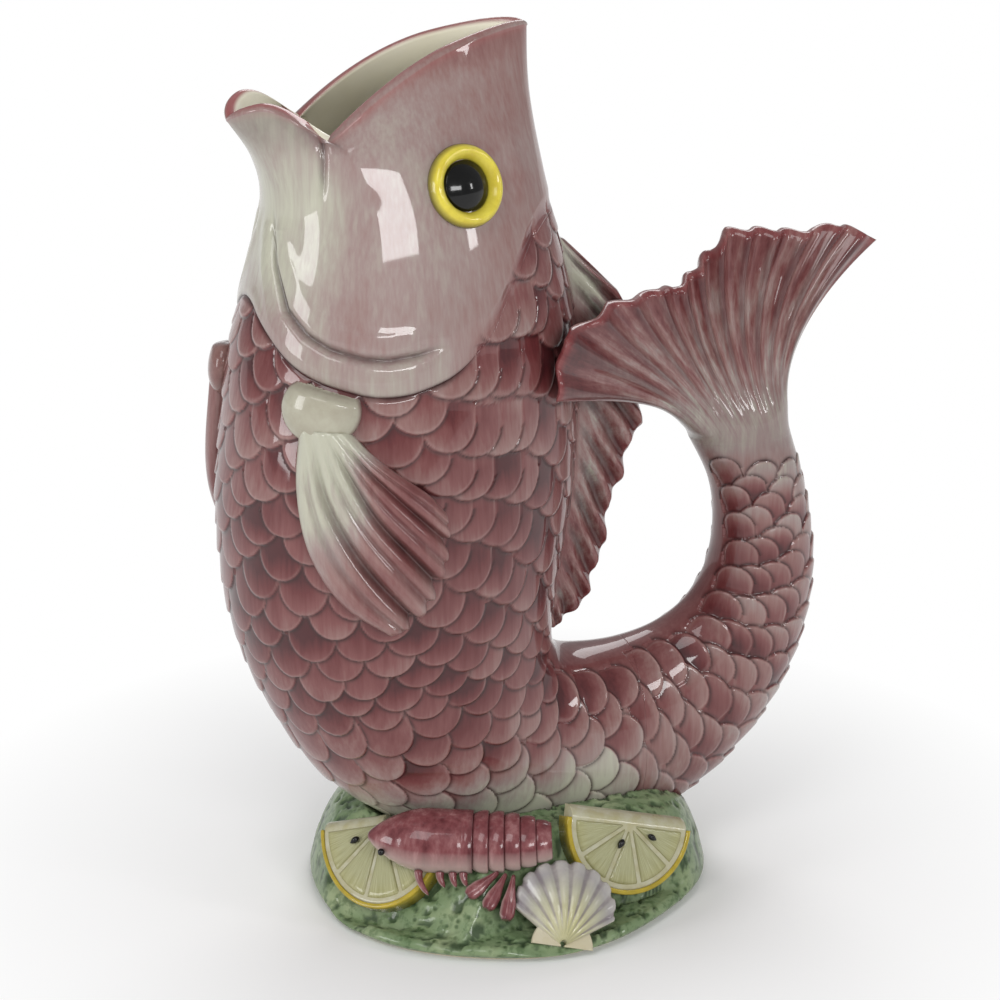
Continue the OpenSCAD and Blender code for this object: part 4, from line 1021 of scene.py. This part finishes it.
def relief_rings(stops, n):
    """Half-round relief along a path in the seat plane: each stop holds (x, y), half width and rise."""
    stops = np.asarray(stops, float)
    d = unit(np.gradient(stops[:, 0:2], axis=0))
    v = np.stack([-d[:, 1], d[:, 0]], -1)
    q = np.linspace(0, 180, n + 1)
    xy = stops[:, None, 0:2] - v[:, None] * (stops[:, 2:3] * cosd(q))[..., None]
    z = PAD_EDGE_T + stops[:, 3:4] * sind(q)
    return over_and_under(np.concatenate([xy, z[..., None]], -1), 0)


def relief_piece(name, seat, runs, n, shaped=None):
    """Half-round relief along each run of stops on a seat."""
    side = np.concatenate([np.linspace(0, 1, n + 1), np.linspace(1, 0, n + 1)])
    solids = []
    for stops in runs:
        rings = relief_rings(stops, n)
        if shaped is not None:
            rings = shaped(rings)
        place = np.linspace(0, 1, len(rings))[:, None]
        solids.append((seated(seat, rings), {"span": side, "place": place}))
    return ring_solids(name, solids)


NOSE = -36


def shrimp_line(x):
    return 6 + 0.0012 * x * x


def carapace_share(u):
    return np.sin(np.radians(90 * np.minimum(1, u / 0.62))) ** 0.7 - 0.04 * u


def carapace_piece():
    u = np.concatenate([np.linspace(0.01, 0.1, 8), np.linspace(0.12, 0.86, 30), np.linspace(0.87, 1, 10)])
    x = NOSE + u * CARAPACE_L
    f = carapace_share(u)
    collar = 1 - 0.05 * bell(u - 0.9, 0.018) - 0.03 * bell(u - 0.3, 0.02)
    collar = collar * np.where(u > 0.985, 0.97, 1)
    stops = np.stack([x, shrimp_line(x), CARAPACE_W / 2 * f, CARAPACE_RISE * f * collar], -1)
    return relief_piece("carapace", SHRIMP, [stops], 36)


def abdomen_piece():
    pitch = ABDOMEN_L / ABDOMEN_RINGS
    runs = []
    for k in range(ABDOMEN_RINGS):
        u = np.linspace(0, 1, 16)
        x = NOSE + CARAPACE_L + SEAT_GAP + (k + u) * (pitch - SEAT_GAP) + k * SEAT_GAP
        x = x - 0.4 * smooth(0.1, 0.0, u)
        taper = 0.96 - 0.42 * ((k + u) / ABDOMEN_RINGS) ** 2.6
        f = taper * (0.9 + 0.1 * np.sin(np.radians(115 * u)))
        f = f * np.where(u < 0.06, 0.97, 1) * np.where(u > 0.97, 0.97, 1)
        runs.append(np.stack([x, shrimp_line(x), CARAPACE_W / 2 * f, CARAPACE_RISE * f], -1))
    return relief_piece("abdomen", SHRIMP, runs, 30)


def shrimp_fan_piece():
    x0 = NOSE + CARAPACE_L + ABDOMEN_L * 0.46
    y0 = shrimp_line(x0) - CARAPACE_W / 2 + 1.8
    runs = []
    for k, (way, share) in enumerate(((-141, 0.86), (-117, 0.9), (-98, 1.02))):
        u = np.linspace(0.12, 1, 22)
        f = lookup(u, [[0, 0.5], [0.65, 1], [0.9, 0.75], [1, 0.32]])
        l = 18 * share
        x = x0 + 2.2 * (k - 1) + l * cosd(way) * u
        y = y0 + l * sind(way) * u
        runs.append(np.stack([x, y, 3.2 * f * u + 0.5, np.full(u.shape, 2.2)], -1))

    def fluted(rings):
        n = rings.shape[1] // 2
        q = np.linspace(0, 1, n)
        rings[:, :n, 2] -= 0.35 * (0.5 + 0.5 * np.cos(2 * np.pi * 3 * q)) * bump(q)
        return rings

    return relief_piece("shrimp_fan", SHRIMP, runs, 24, fluted)


def legs_piece():
    runs = []
    for share, length, lean in ((0.5, 8.5, 4), (0.7, 5, 2), (0.82, 4.8, 1.5), (0.92, 4.4, 1.5)):
        x0 = NOSE + share * CARAPACE_L
        y0 = shrimp_line(x0) - carapace_share(np.float64(share)) * CARAPACE_W / 2 - SEAT_GAP
        u = np.linspace(0, 1, 14)
        taper = np.sqrt(np.clip(1 - u ** 6, 0.02, 1))
        runs.append(np.stack([x0 + lean * u * u, y0 - length * u, (1.6 - 0.8 * u) * taper,
                              (2.4 - 1.2 * u) * taper], -1))
    return relief_piece("legs", SHRIMP, runs, 14)


def shrimp_eye_piece():
    f = carapace_share(np.float64(0.15))
    x = NOSE + 0.15 * CARAPACE_L
    side = np.array([-cosd(30) * CARAPACE_W / 2, sind(30) * CARAPACE_RISE]) * f
    out = unit(np.array([-cosd(30) / CARAPACE_W * 2, sind(30) / CARAPACE_RISE]))
    lift = side + (1.6 + SEAT_GAP) * out
    u = np.linspace(4, 176, 20)[:, None]
    q = np.arange(28) * 360 / 28
    ball = 1.3 * np.stack([sind(u) * cosd(q), sind(u) * sind(q), cosd(u) * np.ones_like(q)], -1)
    ball = ball * (1 + 0.04 * noise(ball, 0.9, 2)[..., None]) * 0.97
    rings = seated(SHRIMP, ball + np.array([x, shrimp_line(x) + lift[0], PAD_EDGE_T + lift[1]]))
    return ring_solid("prawn_eye", rings, cap="fan")


def scallop_piece():
    across, steps = 220, 44
    s = np.linspace(0, 1, across + 1)
    r = lerp(0.06, 1, np.linspace(0, 1, steps + 1))[:, None]
    q = lerp(90, -90, s)
    f = np.abs(q) / 58
    ray = np.where(f <= 1, SCALLOP_L * lerp(1, SCALLOP_W / SCALLOP_L * 0.62, np.clip(f, 0, 1) ** 2.2),
                   SCALLOP_L * 0.36)
    shell = smooth(1.04, 0.96, f)
    dome = SCALLOP_RISE * bump(0.1 + 0.78 * r) * np.clip(cosd(80 * np.clip(f, 0, 1)), 0, 1) * shell
    wave = np.cos(np.pi * SCALLOP_RIBS * (1 + q / 58))
    rib = 0.6 * r * wave * shell
    scallop_edge = 1 + 0.035 * wave * shell * smooth(0.7, 1, r)
    z = (1.4 + dome + rib) * np.ones_like(ray)
    z = z * (0.35 + 0.65 * rounded((1 - r) * SCALLOP_L / 1.8))
    reach = r * ray * np.minimum(scallop_edge, 1.0)
    x, y = reach * sind(q), reach * cosd(q) - SCALLOP_L * 0.48
    rings = seated(SCALLOP, over_and_under(np.stack([x, y, z], -1), 0))
    return ring_solid("scallop", rings, marks={key: two_faced(v, x.shape) for key, v in {
        "span": r, "pool": smooth(-0.2, -1, wave) * shell * smooth(0.1, 0.4, r), "ear": 1 - shell}.items()})


# Materials

def srgb(*colour):
    """Linear colour from the 0 to 255 values that it is written with."""
    shares = (c / 255 for c in colour)
    return (*(c / 12.92 if c <= 0.04045 else ((c + 0.055) / 1.055) ** 2.4 for c in shares), 1.0)


class Shader:
    """A material whose nodes are added one call at a time. Its colours are written from 0 to 255."""

    def __init__(self, name):
        self.material = bpy.data.materials.new(name)
        self.material.use_nodes = True
        self.tree = self.material.node_tree
        self.bsdf = self.tree.nodes["Principled BSDF"]

    def node(self, kind, inputs=None, **settings):
        n = self.tree.nodes.new(kind)
        for key, value in settings.items():
            setattr(n, key, value)
        for key, value in (inputs or {}).items():
            self.put(n.inputs[key], value)
        return n

    def put(self, socket, value):
        if isinstance(value, bpy.types.NodeSocket):
            self.tree.links.new(value, socket)
        else:
            socket.default_value = value

    def mark(self, name):
        return self.node("ShaderNodeAttribute", attribute_name=name).outputs["Fac"]

    def pair(self, x, y):
        return self.node("ShaderNodeCombineXYZ", {0: x, 1: y}).outputs[0]

    def math(self, operation, a, b=0.0, clamp=False):
        return self.node("ShaderNodeMath", {0: a, 1: b}, operation=operation, use_clamp=clamp).outputs[0]

    def add(self, a, b, clamp=False):
        return self.math("ADD", a, b, clamp)

    def times(self, a, b, clamp=False):
        return self.math("MULTIPLY", a, b, clamp)

    def mix(self, share, a, b):
        n = self.node("ShaderNodeMix", data_type="RGBA")
        for socket, value in ((n.inputs[0], share), (n.inputs[6], a), (n.inputs[7], b)):
            self.put(socket, srgb(*value) if isinstance(value, tuple) else value)
        return n.outputs[2]

    def place(self, scale=(1, 1, 1)):
        at = self.node("ShaderNodeTexCoord").outputs["Object"]
        return self.node("ShaderNodeMapping", {"Vector": at, "Scale": scale}).outputs[0]

    def noise(self, scale, detail=3.0, vector=None, rough=0.55):
        vector = vector if vector is not None else self.place()
        return self.node("ShaderNodeTexNoise", {
            "Vector": vector, "Scale": scale, "Detail": detail, "Roughness": rough}).outputs[0]

    def ramp(self, value, stops):
        n = self.node("ShaderNodeValToRGB", {"Fac": value})
        ramp = n.color_ramp
        while len(ramp.elements) < len(stops):
            ramp.elements.new(0.5)
        for element, (at, colour) in zip(ramp.elements, stops):
            element.position = at
            element.color = srgb(*colour)
        return n.outputs[0]

    def stretch(self, value, lo, hi, new_lo=0.0, new_hi=1.0):
        return self.node("ShaderNodeMapRange", {
            "Value": value, "From Min": lo, "From Max": hi, "To Min": new_lo, "To Max": new_hi}).outputs[0]

    def finish(self, colour, rough, coat=0.4, bump=None, distance=0.0003, strength=0.5):
        self.put(self.bsdf.inputs["Base Color"], colour)
        self.put(self.bsdf.inputs["Roughness"], rough)
        self.bsdf.inputs["Coat Weight"].default_value = coat
        self.bsdf.inputs["Coat Roughness"].default_value = 0.04
        self.bsdf.inputs["Specular IOR Level"].default_value = 0.15
        if bump is not None:
            n = self.node("ShaderNodeBump", {"Height": bump, "Distance": distance, "Strength": strength})
            self.put(self.bsdf.inputs["Normal"], n.outputs[0])
        return self.material


ROSE_STOPS = [
    (0.0, (178, 177, 160)),
    (0.12, (164, 157, 146)),
    (0.26, (150, 131, 127)),
    (0.42, (137, 104, 100)),
    (0.6, (117, 71, 70)),
    (0.8, (96, 45, 46)),
    (1.0, (70, 28, 31)),
]
# Dark pooled glaze with painted shade, and the painted highlight along edges and ridges
POOL_AND_SHADE_COLOUR = (48, 24, 24)
RIM_HIGHLIGHT = (176, 144, 138)
CREAM = (238, 234, 220)
LIP_RED = (150, 70, 72)


def rose_glaze(name, brush, inside=False, rays=0.0):
    """Brushed rose glaze; marks say where it is thin, where it pools with painted shade and where a highlight
    is painted.
    """
    s = Shader(name)
    clouds = s.noise(24.0, 3.0)
    strokes = s.stretch(s.noise(190.0, 4.0, s.place((1, 1, 0.12)), 0.65), 0.28, 0.72, -brush, brush)
    if rays:
        at = s.pair(s.mark("ray"), s.times(s.mark("span"), 0.5))
        along_rays = s.stretch(s.noise(7.0, 4.0, at, 0.65), 0.28, 0.72, -rays, rays)
        share = s.stretch(s.mark("span"), 0.02, 0.3)
        strokes = s.add(s.times(strokes, s.math("SUBTRACT", 1.0, share)), s.times(along_rays, share))
    else:
        tint = s.stretch(s.mark("tint"), 0, 1, -0.1, 0.1)
        # Random red on some plates, and painted shade under the plate above, deepen the tone
        strokes = s.add(strokes, s.add(tint, s.times(s.mark("red_patch_and_shade"), 0.6)))
    hatch = s.stretch(s.noise(700.0, 2.0, s.place((1, 1, 0.07))), 0.3, 0.7, -0.045, 0.045)
    tone = s.add(s.mark("tone"), strokes)
    tone = s.add(tone, s.stretch(clouds, 0.28, 0.72, -0.1, 0.1))
    colour = s.ramp(s.add(tone, hatch, True), ROSE_STOPS)
    # Dark pooled glaze with painted shade and painted shadow in grooves, folds and under the gill edge
    broken = s.stretch(s.noise(110.0, 3.0), 0.3, 0.62, 0.6, 1.0)
    pool = s.times(s.mark("pool"), broken, True)
    colour = s.mix(s.times(pool, 0.92), colour, POOL_AND_SHADE_COLOUR)
    # Painted highlight along free edges, lips and ridges, broken into patches
    patchy_highlight = s.stretch(s.noise(160.0, 3.0), 0.35, 0.65, 0.25, 1.0)
    rim = s.times(s.mark("rim"), patchy_highlight, True)
    colour = s.mix(s.times(rim, 0.25), colour, RIM_HIGHLIGHT)
    colour = s.mix(s.times(s.mark("lip"), 0.75, True), colour, LIP_RED)
    if inside:
        pale = s.mix(s.stretch(clouds, 0.3, 0.7), CREAM, (222, 216, 192))
        colour = s.mix(s.mark("inside"), colour, pale)
    rough = s.stretch(s.noise(60.0, 2.0), 0.3, 0.7, 0.3, 0.45)
    return s.finish(colour, rough, 0.7, s.noise(70.0, 4.0), 0.0006, 0.3)


def two_tone(name, a, b, scale, rough=(0.15, 0.3), edge=None, coat=0.5):
    """Mottled glaze of two colours, and a third as painted shade round the edge of a pad."""
    s = Shader(name)
    grain = s.noise(scale, 4.0, rough=0.6)
    colour = s.mix(s.stretch(grain, 0.3, 0.7), a, b)
    if edge is not None:
        colour = s.mix(s.stretch(s.mark("span"), 0.9, 1.0), colour, edge)
    return s.finish(colour, s.stretch(grain, 0.3, 0.7, *rough), coat, grain, 0.0004, 0.35)


def moss_glaze():
    s = Shader("moss_glaze_nodes")
    patches = s.noise(60.0, 4.0)
    cells = s.node("ShaderNodeTexVoronoi", {"Vector": s.place(), "Scale": 260.0}).outputs["Distance"]
    colour = s.ramp(patches, [(0.3, (98, 120, 84)), (0.5, (122, 140, 104)), (0.7, (146, 158, 122))])
    colour = s.mix(s.stretch(cells, 0.1, 0.3, 0.15, 1.0), (60, 80, 48), colour)
    colour = s.mix(s.stretch(s.noise(330.0, 3.0), 0.5, 0.64, 0.0, 0.6), colour, (66, 90, 54))
    colour = s.mix(s.stretch(s.mark("pool"), 0.1, 0.8, 0.0, 0.8), colour, (44, 62, 40))
    height = s.add(s.stretch(cells, 0.0, 0.4), patches)
    return s.finish(colour, s.stretch(patches, 0.3, 0.7, 0.3, 0.5), 0.4, height, 0.0008, 0.5)


def flesh_glaze():
    s = Shader("lemon_flesh_nodes")
    fibres = s.noise(1.6, 4.0, s.pair(s.times(s.mark("ray"), 0.55), s.mark("span")), 0.6)
    colour = s.ramp(fibres, [(0.3, (142, 141, 100)), (0.5, (162, 161, 124)), (0.72, (180, 178, 146))])
    colour = s.mix(s.stretch(s.mark("span"), 0.75, 1.0, 0.0, 0.4), colour, (160, 154, 96))
    colour = s.mix(s.times(s.mark("pool"), 0.6), colour, (126, 122, 78))
    return s.finish(colour, s.stretch(fibres, 0.3, 0.7, 0.15, 0.3), 0.5, fibres, 0.0006, 0.5)


def shrimp_glaze():
    s = Shader("shrimp_nodes")
    streaks = s.noise(260.0, 4.0, s.place((1, 1, 0.3)), 0.6)
    colour = s.ramp(streaks, [(0.25, (84, 38, 42)), (0.5, (118, 66, 69)), (0.75, (150, 106, 106))])
    pale = s.stretch(s.mark("span"), 0.32, 0.05, 0.0, 0.85)
    colour = s.mix(pale, colour, (184, 166, 158))
    ends = s.math("ABSOLUTE", s.stretch(s.mark("place"), 0, 1, -1, 1))
    colour = s.mix(s.stretch(ends, 0.86, 1.0, 0.0, 0.55), colour, (78, 36, 40))
    return s.finish(colour, s.stretch(streaks, 0.3, 0.7, 0.16, 0.3), 0.5, streaks, 0.0005, 0.4)


def scallop_glaze():
    s = Shader("scallop_nodes")
    grain = s.noise(120.0, 4.0)
    radial = s.ramp(s.mark("span"), [(0.0, (170, 166, 126)), (0.3, (176, 172, 128)), (0.6, (170, 168, 146)),
                                     (0.85, (150, 146, 146)), (1.0, (164, 160, 158))])
    colour = s.mix(s.stretch(s.mark("pool"), 0.0, 1.0, 0.0, 0.75), radial, (112, 102, 108))
    colour = s.mix(s.mark("ear"), colour, (184, 175, 146))
    colour = s.mix(s.stretch(grain, 0.4, 0.75, 0.0, 0.35), colour, (204, 200, 188))
    return s.finish(colour, s.stretch(grain, 0.3, 0.7, 0.15, 0.3), 0.5, grain, 0.0005, 0.4)


# Pieces, with the solids that they stand for

def dress(piece, node, material):
    piece.data.materials.append(material)
    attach(piece, "root")
    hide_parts(node)


head_glaze = rose_glaze("head_glaze_nodes", 0.045, inside=True)
body_glaze = rose_glaze("body_glaze_nodes", 0.08, inside=True)
fin_glaze = rose_glaze("fin_glaze_nodes", 0.08, rays=0.3)
side_fin_glaze = rose_glaze("side_fin_glaze_nodes", 0.08, rays=0.1)
# The third colour of the fin root and the eye ring is painted shade round the pad's edge
root_glaze = two_tone("fin_root_nodes", (172, 169, 152), (156, 150, 134), 130.0, edge=(118, 98, 92))
far_root_glaze = two_tone("far_fin_root_nodes", (112, 76, 74), (136, 104, 98), 130.0)
eye_yellow = two_tone("eye_yellow_nodes", (220, 206, 78), (196, 176, 56), 160.0, edge=(110, 100, 46))
black_glaze = two_tone("black_glaze_nodes", (5, 5, 6), (14, 14, 14), 160.0, (0.1, 0.2))
rind_glaze = two_tone("lemon_rind_nodes", (182, 160, 56), (152, 134, 46), 240.0)
pith_glaze = two_tone("lemon_pith_nodes", (184, 182, 160), (166, 160, 124), 220.0)
bare_clay = two_tone("bare_clay_nodes", (214, 204, 184), (196, 182, 158), 400.0, (0.7, 0.9), coat=0.0)
lemon_glaze = flesh_glaze()
prawn_glaze = shrimp_glaze()

dress(head_piece(), "head_shell", head_glaze)
dress(body_piece(), "body_shell", body_glaze)
dress(tail_piece(), "tail_handle", body_glaze)
dress(tail_fin_piece(), "tail_fin", fin_glaze)
dress(back_fin_piece(), "back_fin", fin_glaze)
for side, angle, mirror, boss_glaze in (("left", LEFT_FIN_ANGLE, False, root_glaze),
                                        ("right", RIGHT_FIN_ANGLE, True, far_root_glaze)):
    dress(side_fin_piece(side + "_fin", angle, mirror), side + "_side_fin", side_fin_glaze)
    dress(fin_root_piece(side + "_boss", angle, mirror), side + "_fin_root", boss_glaze)
    dress(eye_ring_piece(side + "_iris", mirror), side + "_eye_ring", eye_yellow)
    dress(pupil_piece(side + "_black", mirror), side + "_pupil", black_glaze)
dress(base_piece(), "base_mound", moss_glaze())
for side, *cut in (("left", LEFT_LEMON, LEFT_LEMON_D, LEFT_LEMON_OVAL, LEFT_LEMON_ARC),
                   ("right", RIGHT_LEMON, RIGHT_LEMON_D, 1.0, 180)):
    dress(lemon_rind_piece(side + "_rind", *cut), side + "_lemon_rind", rind_glaze)
    dress(lemon_pith_piece(side + "_pith", *cut), side + "_lemon_pith", pith_glaze)
    flesh = lemon_flesh_piece(side + "_flesh", *cut)
    dress(flesh, side + "_lemon_segments", lemon_glaze)
dress(seeds_piece(), "lemon_seeds", black_glaze)
dress(carapace_piece(), "shrimp_carapace", prawn_glaze)
dress(abdomen_piece(), "shrimp_abdomen", prawn_glaze)
dress(shrimp_fan_piece(), "shrimp_tail_fan", prawn_glaze)
dress(legs_piece(), "shrimp_legs", prawn_glaze)
dress(shrimp_eye_piece(), "shrimp_eye", black_glaze)
dress(scallop_piece(), "scallop_shell", scallop_glaze())
foot = frame["nodes"]["foot"]
foot.data.materials.clear()
foot.data.materials.append(bare_clay)


# Floor, light and camera

FLOOR_SIZE = 6.0
# The floor turns from a lit surface to plain white between these distances from the jug
FLOOR_WHITE = (0.08, 0.24)
WORLD_LIGHT = 0.36
LAMP_TARGET = (-0.01, 0, 0.18)
CAMERA_TARGET, CAMERA_TURN, CAMERA_HEIGHT, CAMERA_DISTANCE = (-0.00281, 0, 0.146), -20, 19.5, 0.95
SENSOR_W, LENS = 36, 95.4


def floor():
    e = FLOOR_SIZE
    mesh = bpy.data.meshes.new("floor")
    mesh.from_pydata([(-e, -e, 0), (e, -e, 0), (e, e, 0), (-e, e, 0)], [], [(0, 1, 2, 3)])
    s = Shader("floor_nodes")
    s.bsdf.inputs["Base Color"].default_value = (0.9, 0.9, 0.9, 1)
    s.bsdf.inputs["Roughness"].default_value = 0.9
    white = s.node("ShaderNodeEmission", {"Color": (1, 1, 1, 1), "Strength": 1.0}).outputs[0]
    path = s.node("ShaderNodeLightPath")
    seen = s.math("MAXIMUM", path.outputs["Is Camera Ray"], path.outputs["Is Glossy Ray"])
    at = s.node("ShaderNodeTexCoord").outputs["Object"]
    away = s.node("ShaderNodeVectorMath", {0: at}, operation="LENGTH").outputs["Value"]
    share = s.times(seen, s.stretch(away, *FLOOR_WHITE))
    mix = s.node("ShaderNodeMixShader", {0: share, 1: s.bsdf.outputs[0], 2: white})
    s.put(s.tree.nodes["Material Output"].inputs["Surface"], mix.outputs[0])
    mesh.materials.append(s.material)
    add_object("floor", mesh)


def world():
    w = bpy.data.worlds.new("studio")
    bpy.context.scene.world = w
    w.use_nodes = True
    back = w.node_tree.nodes["Background"]
    back.inputs["Color"].default_value = (1, 1, 1, 1)
    back.inputs["Strength"].default_value = WORLD_LIGHT


def bearing(target, turn, height, distance):
    """Place seen from the target at a turn from the left side of the fish and an angle above level."""
    flat = distance * cosd(height)
    return Vector(target) + Vector((flat * sind(turn), -flat * cosd(turn), distance * sind(height)))


def aim(obj, place, target):
    obj.location = place
    obj.rotation_euler = (Vector(target) - Vector(place)).to_track_quat("-Z", "Y").to_euler()


def lamp(name, place, size, power):
    """Soft rectangular light."""
    data = bpy.data.lights.new(name, "AREA")
    data.shape = "RECTANGLE"
    data.size, data.size_y = size
    data.energy = power
    aim(add_object(name, data), place, LAMP_TARGET)


def camera():
    data = bpy.data.cameras.new("camera")
    data.sensor_width = SENSOR_W
    data.lens = LENS
    obj = add_object("camera", data)
    aim(obj, bearing(CAMERA_TARGET, CAMERA_TURN, CAMERA_HEIGHT, CAMERA_DISTANCE), CAMERA_TARGET)
    bpy.context.scene.camera = obj


floor()
world()
lamp("front_window", bearing(LAMP_TARGET, 0, 21, 1.5), (0.7, 0.26), 8)
lamp("left_window", bearing(LAMP_TARGET, -80, 11, 1.5), (0.44, 0.6), 7)
lamp("right_window", bearing(LAMP_TARGET, 48, 18, 1.5), (0.14, 0.34), 2.4)
lamp("key", (-0.8, -0.75, 1.25), (0.6, 0.6), 5)
lamp("back", (0.5, 0.9, 1.0), (0.8, 0.5), 6)
camera()
bpy.context.scene.view_settings.view_transform = "Standard"
